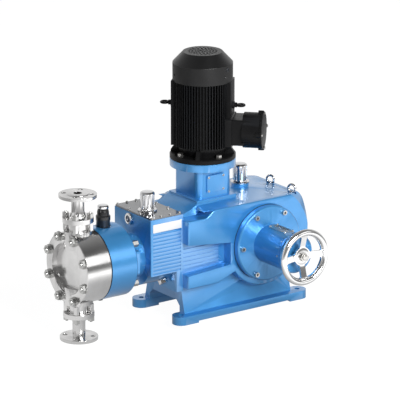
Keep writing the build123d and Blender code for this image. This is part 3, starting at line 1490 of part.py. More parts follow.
handwheel_window_r = handwheel_r - 2 * handwheel_rim_r - 1.0
with BuildPart() as handwheel:
    with Locations(adjuster_front.offset(wheel_forward).location):
        Torus(rim_centre_r, handwheel_rim_r)
    # Dished web from the rim back to the hub
    turned(
        [
            (wheel_forward - handwheel_dish - web_half, 0),
            (wheel_forward - handwheel_dish - web_half, handwheel_hub_r),
            (wheel_forward - web_half, rim_centre_r),
            (wheel_forward + web_half, rim_centre_r),
            (wheel_forward - handwheel_dish + web_half, handwheel_hub_r),
            (wheel_forward - handwheel_dish + web_half, 0),
        ],
        Plane(origin=(adjuster_x, -case_half_y, axis_z), x_dir=(0, -1, 0), z_dir=(-1, 0, 0)),
        adjuster_axis,
    )
    with BuildSketch(adjuster_front.offset(hub_start)) as wheel_windows:
        Circle(handwheel_window_r)
        Circle(handwheel_hub_r + 2.0, mode=Mode.SUBTRACT)
        Rectangle(handwheel_spoke_width, 2 * handwheel_r, mode=Mode.SUBTRACT)
        Rectangle(2 * handwheel_r, handwheel_spoke_width, mode=Mode.SUBTRACT)
        fillet(wheel_windows.vertices(), 5.0)
    extrude(wheel_windows.sketch, wheel_forward + handwheel_rim_r - hub_start, mode=Mode.SUBTRACT)
    turned(
        [
            (hub_start, spindle_r + bore_gap),
            (hub_start, handwheel_hub_r - 7.0),
            (wheel_forward - handwheel_dish - web_half, handwheel_hub_r),
            (wheel_forward - handwheel_dish + web_half, handwheel_hub_r),
            (hub_end, handwheel_hub_r - 7.0),
            (hub_end, spindle_r + bore_gap),
        ],
        Plane(origin=(adjuster_x, -case_half_y, axis_z), x_dir=(0, -1, 0), z_dir=(-1, 0, 0)),
        adjuster_axis,
    )
    tube(
        adjuster_front.offset(hub_start - 1.0), spindle_r + bore_gap, 0,
        hub_end - hub_start + 2.0, mode=Mode.SUBTRACT,
    )
handwheel.part.label = "handwheel"
export_step(handwheel.part, "parts/handwheel.step")

with BuildPart() as handwheel_nut:
    hex_screws(adjuster_front.offset(hub_end), [(0, 0)], 24.0, 9.0)
    tube(adjuster_front.offset(hub_end + 9.0), 8.0, 0, 5.0)
handwheel_nut.part.label = "handwheel_nut"
export_step(handwheel_nut.part, "parts/handwheel_nut.step")
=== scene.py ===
import math

import bmesh
import bpy
from bpy.props import FloatProperty, FloatVectorProperty, IntProperty, PointerProperty
from bpy.types import Operator, Panel, PropertyGroup
from mathutils import Matrix, Vector


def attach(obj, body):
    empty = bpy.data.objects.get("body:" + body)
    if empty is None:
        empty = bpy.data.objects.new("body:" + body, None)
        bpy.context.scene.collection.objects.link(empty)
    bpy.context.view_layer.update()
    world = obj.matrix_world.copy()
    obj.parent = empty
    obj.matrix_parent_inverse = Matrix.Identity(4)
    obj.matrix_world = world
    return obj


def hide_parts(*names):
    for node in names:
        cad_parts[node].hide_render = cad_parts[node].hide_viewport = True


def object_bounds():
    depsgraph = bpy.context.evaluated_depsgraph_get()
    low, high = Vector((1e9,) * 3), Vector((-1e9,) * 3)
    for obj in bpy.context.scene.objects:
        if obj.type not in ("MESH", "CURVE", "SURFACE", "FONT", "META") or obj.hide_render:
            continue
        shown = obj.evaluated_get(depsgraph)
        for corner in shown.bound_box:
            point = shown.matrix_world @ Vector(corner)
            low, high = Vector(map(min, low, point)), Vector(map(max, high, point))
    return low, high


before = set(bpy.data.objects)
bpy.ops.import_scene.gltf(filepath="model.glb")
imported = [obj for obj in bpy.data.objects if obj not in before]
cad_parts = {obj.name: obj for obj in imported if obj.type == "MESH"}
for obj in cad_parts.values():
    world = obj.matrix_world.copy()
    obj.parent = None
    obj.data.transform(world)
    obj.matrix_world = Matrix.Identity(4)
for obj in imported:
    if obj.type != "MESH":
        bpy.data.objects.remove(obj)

bl_info = {
    "name": "Diaphragm metering pump",
    "version": (1, 0, 0),
    "blender": (4, 5, 0),
    "location": "3D View > Sidebar > Pump",
    "description": "Dresses the metering pump: castings, motor, pump head, valves, fasteners and stage",
    "category": "Object",
}

CASING = "casing"
BREATHERS = ("casing_breather", "reservoir_breather")
MM = 0.001
BOUNDS_AT_LOAD = [list(corner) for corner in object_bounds()]
X, Y, Z = Vector((1, 0, 0)), Vector((0, 1, 0)), Vector((0, 0, 1))

# Boxes are read to this step in millimetres, as the triangles of a round piece fall short of its radius
BOX_STEP = 0.05


class Box:
    """The box of a CAD piece at load, in millimetres"""

    def __init__(self, node):
        points = [vertex.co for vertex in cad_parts[node].data.vertices]
        self.low = self.corner(points, min)
        self.high = self.corner(points, max)
        self.middle = (self.low + self.high) / 2

    @staticmethod
    def corner(points, end):
        """The least or greatest value along each axis, on the nearest step"""
        values = [end(point[axis] for point in points) / MM for axis in range(3)]
        return Vector([BOX_STEP * round(value / BOX_STEP) for value in values])


HEAD = Box("pump_head")
COWL = Box("fan_cowl")
CHAMBER = Box("hydraulic_chamber")
ADJUSTER = Box("adjuster_housing")
SIGHT_GLASS = Box("sight_glass")
SCALE_WINDOW = Box("scale_window")

# Places on the pump, in millimetres and degrees
AXIS_Z = HEAD.middle.z
MOTOR_X = Box("motor_end_shield").middle.x
ADJUSTER_X = Box("handwheel").middle.x
PORT_X = Box("discharge_connection").middle.x
ADJUSTER_SPIGOT = 20.0
ADJUSTER_SEAT_Y = ADJUSTER.high.y - ADJUSTER_SPIGOT
ADJUSTER_SCREW_FACE_Y = Box("adjuster_screws").low.y
ADJUSTER_SCREW_R = 103.0
ADJUSTER_SCREW_COUNT = 6
HEAD_BOLT_R = 100.0
HEAD_BOLT_COUNT = 8
HEAD_BOLT_FIRST_TURN = 22.5
HEAD_FACE_SETBACK = 2.0

# Small pieces that only the visual model has, in millimetres and degrees
PLATE_SIZE = (104.0, 1.2, 26.0)
PLATE_GAP_X, PLATE_GAP_Z = 6.0, 14.5
COWL_SCREW_ANGLES = (-77.0, 43.0, 163.0)
COWL_SCREW_RISE = 20.0
GROMMET_ANGLE = -71.0
GROMMET_RISE = 42.0
COWL_SINK = 0.6
SET_SCREW_COUNT = 8
SET_SCREW_INSET = 5.0
TUBE_R = Box("adjuster_end_cap").high.x - ADJUSTER_X
SCALE_R = SCALE_WINDOW.high.z - AXIS_Z
SCALE_SCREW_INSET_X, SCALE_SCREW_INSET_Y = 4.5, 5.0
PANE_SIZE = (13.6, 61.6, 1.0)
PANE_DEPTH = 2.0
TICK_SIZE = (3.0, 0.7, 0.2)
TICK_X = 9.4
TICK_PITCH = 5.0
TICK_COUNT = 11
TICK_LIFT = 0.03

# Outlines of turned pieces: radius and height above the seat, in millimetres
FLANGE_SEAL = ((112, 0.2), (117.7, 0.2), (117.7, 1.6), (112, 1.6))
COWL_SCREW = ((0, 0), (4.2, 0), (4.2, 1.6), (3.0, 2.8), (0, 3.1))
GROMMET = ((0, 0), (6.4, 0), (6.4, 1.4), (5.4, 2.4), (3.4, 2.4), (3.0, 1.0), (0, 1.0))
HEAD_WASHER = ((8, 0), (15.5, 0), (15.5, 2.0), (14.8, 2.6), (8, 2.6))
# A black disc on a screw head, standing in for the shade inside its hex socket: painted shade
SOCKET_SHADE = ((0, -1.0), (3.6, -1.0), (3.6, 0.05), (0, 0.05))
BREATHER_BASE = ((15, 0), (28, 0), (29, 0.8), (29, 4.0), (28, 5.0), (21, 5.6), (15, 5.6))
GLASS_LENS = ((0, 3.8), (10.6, 3.8), (10.2, 4.6), (7.5, 5.8), (4.0, 6.5), (0, 6.8))
SET_SCREW = ((0, -1.0), (3.0, -1.0), (3.0, 0.9), (2.4, 1.5), (0, 1.5))
SCALE_SCREW = ((0, -1.0), (3.0, -1.0), (3.0, 1.4), (2.2, 2.2), (0, 2.4))

# Studio, in metres; the rails under the feet in millimetres
FLOOR_HALF = 9.0
FLOOR_ALBEDO, FLOOR_GLOW = 0.12, 0.97
STAGE_GAP = 0.2 * MM
FOOT_Y = 105.0
RAIL_SIZE = (460.0, 40.0)
CAMERA_CLIP = (0.5, 60.0)
SOFTBOXES = (
    ("Key softbox", "key_light", (2.0, 1.4), (-0.3, -3.8, 2.2)),
    ("Band softbox", "band_light", (1.8, 1.9), (2.2, -3.2, 2.0)),
    ("Left softbox", "rim_light", (0.5, 2.2), (-3.4, -1.2, 1.0)))

# What the pump mirrors: from and to of a height, a depth or a distance, then the two brightnesses there
BACKDROP_BY_HEIGHT = (0.25, 0.8, 1.0, 0.38)
BACKDROP_BY_DEPTH = (-0.45, 0.2, 0.25, 1.0)
ABOVE_HORIZON = (-0.06, 0.0, 0.0, 1.0)
# The floor's glow, seen only in reflections, carries painted shade near the pump and far off, and painted
# light in front of it
FLOOR_NEAR_SHADE = (0.25, 0.75, 0.35, 1.0)
FLOOR_FRONT_LIGHT = (-0.75, -0.3, 1.8, 1.0)
FLOOR_FAR_SHADE = (1.3, 2.3, 1.0, 0.3)


# Settings


class PumpColours(PropertyGroup):
    """Colours of the pump's finishes"""

    enamel: FloatVectorProperty(
        name="Enamel", description="Blue enamel of the castings",
        subtype="COLOR", size=3, min=0, max=1, default=(0.05, 0.30, 0.67))
    enamel_shade: FloatVectorProperty(
        name="Enamel, thin coat", description="Darker blue where the enamel lies thin",
        subtype="COLOR", size=3, min=0, max=1, default=(0.045, 0.28, 0.63))
    motor_black: FloatVectorProperty(
        name="Motor black", description="Satin black of the motor",
        subtype="COLOR", size=3, min=0, max=1, default=(0.006, 0.006, 0.0065))
    cowl_black: FloatVectorProperty(
        name="Cowl black", description="Powder coat of the fan cowl",
        subtype="COLOR", size=3, min=0, max=1, default=(0.006, 0.006, 0.0065))
    stainless: FloatVectorProperty(
        name="Stainless steel", description="Pump head and flanges",
        subtype="COLOR", size=3, min=0, max=1, default=(0.66, 0.655, 0.65))
    plated: FloatVectorProperty(
        name="Bright plating", description="Breathers, eyes and plugs",
        subtype="COLOR", size=3, min=0, max=1, default=(0.66, 0.66, 0.67))
    screw_steel: FloatVectorProperty(
        name="Screw steel", description="Zinc plated screws",
        subtype="COLOR", size=3, min=0, max=1, default=(0.55, 0.54, 0.52))
    cover_grey: FloatVectorProperty(
        name="Reservoir cover", description="Satin grey sheet of the reservoir cover",
        subtype="COLOR", size=3, min=0, max=1, default=(0.17, 0.175, 0.185))
    rubber: FloatVectorProperty(
        name="Seals", description="Diaphragm edge, gaskets and seals",
        subtype="COLOR", size=3, min=0, max=1, default=(0.01, 0.012, 0.016))
    label_white: FloatVectorProperty(
        name="Blank plate", description="Bare plate on the oil chamber",
        subtype="COLOR", size=3, min=0, max=1, default=(0.86, 0.86, 0.86))


class PumpSizes(PropertyGroup):
    """Edge radii of the pump's pieces"""

    cast_edge: FloatProperty(
        name="Cast edge", description="Radius on the edges of the large castings",
        subtype="DISTANCE", unit="LENGTH", min=0, default=2.5 * MM)
    turned_edge: FloatProperty(
        name="Turned edge", description="Radius on the edges of turned pieces",
        subtype="DISTANCE", unit="LENGTH", min=0, default=1.0 * MM)
    sheet_edge: FloatProperty(
        name="Sheet edge", description="Radius on the edges of sheet metal and fins",
        subtype="DISTANCE", unit="LENGTH", min=0, default=0.7 * MM)
    screw_edge: FloatProperty(
        name="Screw edge", description="Chamfer on bolt and screw heads",
        subtype="DISTANCE", unit="LENGTH", min=0, default=0.6 * MM)
    edge_steps: IntProperty(
        name="Edge steps", description="Segments across a rounded edge", min=1, max=6, default=3)


class StageSizes(PropertyGroup):
    """Camera and light of the studio"""

    camera_azimuth: FloatProperty(
        name="Azimuth", description="Turn of the camera round the pump",
        subtype="ANGLE", unit="ROTATION", default=math.radians(-35.7))
    camera_elevation: FloatProperty(
        name="Elevation", description="Height of the camera above the horizon",
        subtype="ANGLE", unit="ROTATION", default=math.radians(16.8))
    camera_distance: FloatProperty(
        name="Distance", description="From the camera to the point that it looks at",
        subtype="DISTANCE", unit="LENGTH", min=1, default=11.67)
    lens: FloatProperty(name="Lens", description="Focal length in millimetres", min=10, default=350.0)
    aim: FloatVectorProperty(
        name="Aim", description="Point that the camera looks at", subtype="TRANSLATION",
        unit="LENGTH", size=3, default=(-0.1273, -0.0756, 0.3637))
    world_light: FloatProperty(
        name="World light", description="Strength of the even light from all round", min=0, default=0.2)
    key_light: FloatProperty(
        name="Key light", description="Power of the front softbox",
        subtype="POWER", unit="POWER", min=0, default=200.0)
    band_light: FloatProperty(
        name="Band light", description="Power of the softbox that the round steel mirrors",
        subtype="POWER", unit="POWER", min=0, default=16.0)
    rim_light: FloatProperty(
        name="Rim light", description="Power of the left softbox",
        subtype="POWER", unit="POWER", min=0, default=1.5)


def colours():
    """The colours set in the scene"""
    return bpy.context.scene.pump_colours


def sizes():
    """The edge radii set in the scene"""
    return bpy.context.scene.pump_sizes


# Materials

# Pale blue-white that lightens the enamel's edges as a painted highlight
EDGE_HIGHLIGHT = (0.75, 0.85, 1.0, 1.0)
SMEARED_STEEL = (0.2, 0.2, 0.21, 1.0)
BLACK = (0.0, 0.0, 0.0, 1.0)

GROUPS = {}
FINISHES = {}


def node_of(tree, kind, **inputs):
    """One shader node, with its inputs set by name: a socket is linked, any other value is written"""
    made = tree.nodes.new(kind)
    for name, value in inputs.items():
        socket = made.inputs[name.replace("_", " ")]
        if isinstance(value, bpy.types.NodeSocket):
            tree.links.new(value, socket)
        else:
            socket.default_value = value
    return made


def group_tree(name, inputs, outputs):
    """An empty shader node group with its sockets, and its input and output nodes"""
    tree = bpy.data.node_groups.new(name, "ShaderNodeTree")
    for label, kind, default in inputs:
        socket = tree.interface.new_socket(label, in_out="INPUT", socket_type=kind)
        if default is not None:
            socket.default_value = default
    for label, kind in outputs:
        tree.interface.new_socket(label, in_out="OUTPUT", socket_type=kind)
    return tree, tree.nodes.new("NodeGroupInput"), tree.nodes.new("NodeGroupOutput")


def mixed(tree, factor, first, second):
    """A colour between two colours"""
    mix = tree.nodes.new("ShaderNodeMix")
    mix.data_type = "RGBA"
    for index, value in ((0, factor), (6, first), (7, second)):
        if isinstance(value, bpy.types.NodeSocket):
            tree.links.new(value, mix.inputs[index])
        else:
            mix.inputs[index].default_value = value
    return mix.outputs[2]


def maths(tree, operation, first, second=0.0):
    """The result of one sum on two values"""
    sum_node = tree.nodes.new("ShaderNodeMath")
    sum_node.operation = operation
    for index, value in enumerate((first, second)):
        if isinstance(value, bpy.types.NodeSocket):
            tree.links.new(value, sum_node.inputs[index])
        else:
            sum_node.inputs[index].default_value = value
    return sum_node.outputs[0]


def ranged(tree, value, low, high, to_low, to_high):
    """A value moved from one range to another, and held inside it"""
    made = node_of(tree, "ShaderNodeMapRange", Value=value)
    for name, limit in (("From Min", low), ("From Max", high), ("To Min", to_low), ("To Max", to_high)):
        made.inputs[name].default_value = limit
    return made.outputs["Result"]


def coat_group():
    """Sprayed coat over a casting: uneven film, orange peel, and a painted highlight that lightens the edges
    """
    tree, given, result = group_tree(
        "Sprayed coat",
        [("Vector", "NodeSocketVector", None), ("Colour", "NodeSocketColor", None),
         ("Thin colour", "NodeSocketColor", None), ("Cloud scale", "NodeSocketFloat", 9.0),
         ("Peel scale", "NodeSocketFloat", 260.0), ("Roughness", "NodeSocketFloat", 0.25),
         ("Edge wear", "NodeSocketFloat", 0.35)],
        [("Colour", "NodeSocketColor"), ("Roughness", "NodeSocketFloat"), ("Height", "NodeSocketFloat")])
    cloud = node_of(tree, "ShaderNodeTexNoise", Vector=given.outputs["Vector"],
                    Scale=given.outputs["Cloud scale"], Detail=4.0, Roughness=0.55)
    film = ranged(tree, cloud.outputs["Fac"], 0.35, 0.68, 0.0, 1.0)
    body = mixed(tree, film, given.outputs["Thin colour"], given.outputs["Colour"])
    # Painted highlight: edges found by pointiness are lightened towards a pale blue-white
    edge = ranged(tree, tree.nodes.new("ShaderNodeNewGeometry").outputs["Pointiness"], 0.53, 0.62, 0.0, 1.0)
    edge = maths(tree, "MULTIPLY", edge, given.outputs["Edge wear"])
    lighter = mixed(tree, 0.45, given.outputs["Colour"], EDGE_HIGHLIGHT)
    coated = mixed(tree, edge, body, lighter)
    tree.links.new(coated, result.inputs["Colour"])
    smear = node_of(tree, "ShaderNodeTexNoise", Vector=given.outputs["Vector"], Scale=34.0, Detail=6.0)
    # The spread is small downward: an enamel as smooth as 0.25 in places rendered with thin dark lines
    spread = ranged(tree, smear.outputs["Fac"], 0.3, 0.75, -0.02, 0.08)
    tree.links.new(maths(tree, "ADD", given.outputs["Roughness"], spread), result.inputs["Roughness"])
    peel = node_of(tree, "ShaderNodeTexNoise", Vector=given.outputs["Vector"],
                   Scale=given.outputs["Peel scale"], Detail=2.0)
    waviness = maths(tree, "MULTIPLY", cloud.outputs["Fac"], 0.6)
    tree.links.new(maths(tree, "ADD", peel.outputs["Fac"], waviness), result.inputs["Height"])
    return tree


def turned_group():
    """Fine rings that a lathe tool leaves round an axis, with faint smears"""
    tree, given, result = group_tree(
        "Turned marks",
        [("Vector", "NodeSocketVector", None), ("Colour", "NodeSocketColor", None),
         ("Ring scale", "NodeSocketFloat", 140.0), ("Roughness", "NodeSocketFloat", 0.2)],
        [("Colour", "NodeSocketColor"), ("Roughness", "NodeSocketFloat"), ("Height", "NodeSocketFloat")])
    rings = node_of(tree, "ShaderNodeTexWave", Vector=given.outputs["Vector"],
                    Scale=given.outputs["Ring scale"], Distortion=1.2, Detail=2.0, Detail_Scale=3.0)
    rings.wave_type, rings.rings_direction, rings.wave_profile = "RINGS", "X", "SIN"
    smear = node_of(tree, "ShaderNodeTexNoise", Vector=given.outputs["Vector"], Scale=16.0, Detail=5.0)
    cloudy = ranged(tree, smear.outputs["Fac"], 0.3, 0.72, 0.0, 1.0)
    darker = mixed(tree, 0.22, given.outputs["Colour"], SMEARED_STEEL)
    tree.links.new(mixed(tree, cloudy, darker, given.outputs["Colour"]), result.inputs["Colour"])
    ring_part = ranged(tree, rings.outputs["Fac"], 0.0, 1.0, -0.03, 0.04)
    cloud_part = ranged(tree, smear.outputs["Fac"], 0.3, 0.75, 0.05, -0.05)
    spread = maths(tree, "ADD", ring_part, cloud_part)
    tree.links.new(maths(tree, "ADD", given.outputs["Roughness"], spread), result.inputs["Roughness"])
    tree.links.new(rings.outputs["Fac"], result.inputs["Height"])
    return tree


def grain_group():
    """Fine grain of a moulded, plated or machined surface"""
    tree, given, result = group_tree(
        "Fine grain",
        [("Vector", "NodeSocketVector", None), ("Colour", "NodeSocketColor", None),
         ("Grain scale", "NodeSocketFloat", 400.0), ("Roughness", "NodeSocketFloat", 0.3),
         ("Colour spread", "NodeSocketFloat", 0.25)],
        [("Colour", "NodeSocketColor"), ("Roughness", "NodeSocketFloat"), ("Height", "NodeSocketFloat")])
    grain = node_of(tree, "ShaderNodeTexNoise", Vector=given.outputs["Vector"],
                    Scale=given.outputs["Grain scale"], Detail=3.0)
    patch = node_of(tree, "ShaderNodeTexNoise", Vector=given.outputs["Vector"], Scale=22.0, Detail=5.0)
    share = maths(tree, "MULTIPLY", ranged(tree, patch.outputs["Fac"], 0.35, 0.7, 0.0, 1.0),
                  given.outputs["Colour spread"])
    shade = mixed(tree, 0.5, given.outputs["Colour"], BLACK)
    tree.links.new(mixed(tree, share, given.outputs["Colour"], shade), result.inputs["Colour"])
    spread = ranged(tree, patch.outputs["Fac"], 0.3, 0.75, -0.05, 0.07)
    tree.links.new(maths(tree, "ADD", given.outputs["Roughness"], spread), result.inputs["Roughness"])
    tree.links.new(grain.outputs["Fac"], result.inputs["Height"])
    return tree


def group(name):
    """The shared node group of that name, built the first time that it is asked for"""
    makers = {"coat": coat_group, "turned": turned_group, "grain": grain_group}
    if name not in GROUPS:
        GROUPS[name] = makers[name]()
    return GROUPS[name]


def finish(name, effect, colour, bump, depth,
           centre=(0.0, 0.0, 0.0), turn=(0.0, 0.0, 0.0), values=None, shader=None):
    """A Principled material whose colour, roughness and bump come from one shared effect"""
    material = bpy.data.materials.new(name)
    material.use_nodes = True
    tree = material.node_tree
    principled = tree.nodes["Principled BSDF"]
    place = node_of(tree, "ShaderNodeMapping", Vector=tree.nodes.new("ShaderNodeTexCoord").outputs["Object"])
    place.vector_type = "TEXTURE"
    place.inputs["Location"].default_value = centre
    place.inputs["Rotation"].default_value = turn
    made = tree.nodes.new("ShaderNodeGroup")
    made.node_tree = group(effect)
    tree.links.new(place.outputs["Vector"], made.inputs["Vector"])
    made.inputs["Colour"].default_value = (*colour, 1.0)
    for label, value in (values or {}).items():
        made.inputs[label].default_value = value
    for label, value in (shader or {}).items():
        principled.inputs[label].default_value = value
    relief = node_of(tree, "ShaderNodeBump", Strength=bump, Distance=depth, Height=made.outputs["Height"])
    tree.links.new(made.outputs["Colour"], principled.inputs["Base Color"])
    tree.links.new(made.outputs["Roughness"], principled.inputs["Roughness"])
    tree.links.new(relief.outputs["Normal"], principled.inputs["Normal"])
    FINISHES[name] = material


def make_finishes():
    """Every finish on the pump"""
    tint = colours()
    quarter = math.pi / 2
    metal = {"Metallic": 1.0}
    finish("blue_enamel", "coat", tint.enamel, 0.02, 0.2 * MM,
           values={"Thin colour": (*tint.enamel_shade, 1.0), "Roughness": 0.3},
           shader={"Metallic": 0.5, "Coat Weight": 0.8, "Coat Roughness": 0.2, "Coat IOR": 1.6})
    # The motor's black gets only a faint painted edge highlight
    finish("motor_enamel", "coat", tint.motor_black, 0.18, 0.5 * MM,
           values={"Thin colour": (0.009, 0.009, 0.0095, 1.0), "Roughness": 0.34, "Edge wear": 0.015},
           shader={"Specular IOR Level": 0.13})
    finish("cowl_powder", "grain", tint.cowl_black, 0.25, 0.2 * MM,
           values={"Grain scale": 900.0, "Roughness": 0.36}, shader={"Specular IOR Level": 0.42})
    finish("black_valve", "grain", (0.012, 0.012, 0.013), 0.2, 0.15 * MM,
           values={"Grain scale": 700.0, "Roughness": 0.3}, shader={"Coat Weight": 0.2})
    finish("head_steel", "turned", tint.stainless, 0.05, 0.06 * MM, centre=(0, 0, AXIS_Z * MM),
           values={"Ring scale": 130.0, "Roughness": 0.19}, shader=metal)
    finish("flange_steel", "turned", tint.stainless, 0.05, 0.05 * MM,
           centre=(PORT_X * MM, 0, 0), turn=(0, quarter, 0),
           values={"Ring scale": 150.0, "Roughness": 0.15}, shader=metal)
    finish("bolt_steel", "grain", (0.5, 0.5, 0.49), 0.12, 0.1 * MM,
           values={"Grain scale": 900.0, "Roughness": 0.24}, shader=metal)
    finish("screw_steel", "grain", tint.screw_steel, 0.15, 0.1 * MM,
           values={"Grain scale": 1200.0, "Roughness": 0.28}, shader=metal)
    finish("bright_plate", "grain", tint.plated, 0.05, 0.06 * MM,
           values={"Grain scale": 500.0, "Roughness": 0.1, "Colour spread": 0.12}, shader=metal)
    finish("polished_wheel", "grain", (0.7, 0.7, 0.7), 0.05, 0.08 * MM,
           values={"Grain scale": 300.0, "Roughness": 0.16, "Colour spread": 0.1}, shader=metal)
    finish("machined_steel", "grain", (0.42, 0.42, 0.42), 0.15, 0.1 * MM,
           values={"Grain scale": 800.0, "Roughness": 0.32}, shader=metal)
    finish("raw_iron", "grain", (0.16, 0.16, 0.165), 0.5, 0.4 * MM,
           values={"Grain scale": 260.0, "Roughness": 0.55}, shader={"Metallic": 0.6})
    finish("wheel_bronze", "grain", (0.55, 0.36, 0.15), 0.2, 0.1 * MM,
           values={"Grain scale": 500.0, "Roughness": 0.33}, shader=metal)
    finish("cover_sheet", "grain", tint.cover_grey, 0.1, 0.1 * MM,
           values={"Grain scale": 350.0, "Roughness": 0.13, "Colour spread": 0.35},
           shader={"Metallic": 0.75, "Coat Weight": 0.3, "Coat Roughness": 0.05})
    finish("seal_rubber", "grain", tint.rubber, 0.2, 0.1 * MM,
           values={"Grain scale": 700.0, "Roughness": 0.5})
    finish("fan_moulding", "grain", (0.03, 0.03, 0.032), 0.3, 0.15 * MM,
           values={"Grain scale": 500.0, "Roughness": 0.5})
    finish("clear_pane", "grain", (0.9, 0.93, 0.95), 0.03, 0.03 * MM,
           values={"Grain scale": 200.0, "Roughness": 0.06, "Colour spread": 0.05},
           shader={"Transmission Weight": 0.9, "IOR": 1.45})
    finish("oil_lens", "grain", (0.10, 0.13, 0.2), 0.03, 0.03 * MM,
           values={"Grain scale": 200.0, "Roughness": 0.06},
           shader={"Coat Weight": 1.0, "Coat Roughness": 0.02})
    finish("tick_ink", "grain", (0.02, 0.02, 0.025), 0.05, 0.02 * MM, values={"Roughness": 0.45})
    finish("blank_plate", "grain", tint.label_white, 0.06, 0.05 * MM,
           values={"Grain scale": 600.0, "Roughness": 0.3, "Colour spread": 0.06},
           shader={"Coat Weight": 0.3})


# Shapes

MERGE_DISTANCE = 0.01 * MM
FLAT_ANGLE = math.radians(1.0)
SHAPE_ANGLE = math.radians(60.0)
SHARP_ANGLE = math.radians(35.0)


def piece(name, mesh, finish_name, body=CASING, replaced=()):
    """An object for a finished mesh, with its finish, riding on its body"""
    made = bpy.data.objects.new(name, mesh)
    bpy.context.scene.collection.objects.link(made)
    made.data.materials.clear()
    made.data.materials.append(FINISHES[finish_name])
    if replaced:
        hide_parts(*replaced)
    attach(made, body)
    return made


def merged_copy(node):
    """A bmesh of a CAD node with its loose triangles joined, and paired where they lie flat"""
    work = bmesh.new()
    work.from_mesh(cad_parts[node].data)
    bmesh.ops.remove_doubles(work, verts=work.verts, dist=MERGE_DISTANCE)
    bmesh.ops.dissolve_degenerate(work, edges=work.edges, dist=MERGE_DISTANCE)
    bmesh.ops.join_triangles(
        work, faces=work.faces, angle_face_threshold=FLAT_ANGLE, angle_shape_threshold=SHAPE_ANGLE)
    return work


def smoothed(work, name):
    """A mesh with smooth faces that stays crisp where faces meet at a wide angle"""
    mesh = bpy.data.meshes.new(name)
    work.to_mesh(mesh)
    work.free()
    mesh.shade_smooth()
    mesh.set_sharp_from_angle(angle=SHARP_ANGLE)
    return mesh


def eased(node, finish_name, radius, steps=None, body=CASING):
    """A CAD node's own shape with its edges eased, standing for the node"""
    name = node + "_eased"
    made = piece(name, smoothed(merged_copy(node), name), finish_name, body, (node,))
    edge = made.modifiers.new("Eased edges", "BEVEL")
    edge.limit_method, edge.angle_limit = "ANGLE", SHARP_ANGLE
    edge.width, edge.segments = radius, steps or sizes().edge_steps
    edge.use_clamp_overlap, edge.harden_normals = True, True
    edge.miter_outer = "MITER_ARC"


def coated(nodes, finish_name):
    """Gives CAD nodes whose shape is right a procedural finish"""
    for node in nodes:
        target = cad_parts[node]
        target.data.materials.clear()
        target.data.materials.append(FINISHES[finish_name])


def spun(name, outline, place, finish_name, steps=64):
    """A ring or disc turned round its local Z from a closed outline of radius and height in millimetres"""
    work = bmesh.new()
    corners = [work.verts.new((radius * MM, 0, height * MM)) for radius, height in outline]
    rim = [work.edges.new((corners[index - 1], corners[index])) for index in range(len(corners))]
    bmesh.ops.spin(work, geom=corners + rim, cent=(0, 0, 0), axis=(0, 0, 1), dvec=(0, 0, 0),
                   angle=2 * math.pi, steps=steps, use_merge=True)
    bmesh.ops.remove_doubles(work, verts=work.verts, dist=0.001 * MM)
    bmesh.ops.recalc_face_normals(work, faces=work.faces)
    bmesh.ops.transform(work, matrix=place, verts=work.verts)
    piece(name, smoothed(work, name), finish_name)


def spun_set(name, outline, places, finish_name, steps):
    """Equal turned pieces, numbered, one at each place"""
    for number, place in enumerate(places):
        spun("%s_%d" % (name, number), outline, place, finish_name, steps)


def blocks(name, size, places, finish_name, edge):
    """Equal rounded blocks in one mesh, each with its size in millimetres and its own place"""
    work = bmesh.new()
    for place in places:
        bmesh.ops.create_cube(
            work, size=1.0, matrix=place @ Matrix.Diagonal((*(length * MM for length in size), 1.0)))
    bmesh.ops.bevel(work, geom=work.edges[:], offset=edge, offset_type="OFFSET", segments=2, profile=0.5,
                    affect="EDGES", material=-1)
    piece(name, smoothed(work, name), finish_name)


def at(x, y, z, turn_axis="Z", degrees=0.0):
    """A place in millimetres, turned about one axis"""
    return Matrix.Translation((x * MM, y * MM, z * MM)) @ Matrix.Rotation(math.radians(degrees), 4, turn_axis)


def facing(spot, direction):
    """A place in millimetres whose local Z points along a direction"""
    return Matrix.Translation(Vector(spot) * MM) @ direction.to_track_quat("Z", "Y").to_matrix().to_4x4()


def even_turns(count, first=0.0):
    """Angles in degrees that share out a full turn"""
    return [first + 360.0 * number / count for number in range(count)]


def round_places(centre, across, up, radius, turns, direction=None):
    """Places on a circle, from its axis across towards its axis up, facing outward or along one direction"""
    places = []
    for degrees in turns:
        outward = across * math.cos(math.radians(degrees)) + up * math.sin(math.radians(degrees))
        places.append(facing(Vector(centre) + outward * radius, direction or outward))
    return places


# Studio


def add_camera(stage, aim):
    """The camera, turned round the pump and lifted as the settings say"""
    turn, lift = stage.camera_azimuth, stage.camera_elevation
    back = Vector((math.sin(turn) * math.cos(lift), -math.cos(turn) * math.cos(lift), math.sin(lift)))
    camera_data = bpy.data.cameras.new("Camera")
    camera_data.lens = stage.lens
    camera_data.clip_start, camera_data.clip_end = CAMERA_CLIP
    camera = bpy.data.objects.new("Camera", camera_data)
    bpy.context.scene.collection.objects.link(camera)
    camera.location = aim + back * stage.camera_distance
    camera.rotation_euler = (-back).to_track_quat("-Z", "Y").to_euler()
    bpy.context.scene.camera = camera


def add_floor():
    """The floor just under the lower pipe flange, and two rails that carry the feet"""
    level = BOUNDS_AT_LOAD[0][2] - STAGE_GAP
    material = pale_surface("pale_floor", FLOOR_ALBEDO, FLOOR_GLOW)
    work = bmesh.new()
    bmesh.ops.create_grid(work, x_segments=1, y_segments=1, size=FLOOR_HALF,
                          matrix=Matrix.Translation((0, 0, level)))
    stage_object("floor", work, material)
    work = bmesh.new()
    for side in (-1, 1):
        middle = Matrix.Translation((0, side * FOOT_Y * MM, level / 2 - STAGE_GAP))
        size = Matrix.Diagonal((*(length * MM for length in RAIL_SIZE), -level - STAGE_GAP, 1.0))
        bmesh.ops.create_cube(work, size=1.0, matrix=middle @ size)
    stage_object("rails", work, material)


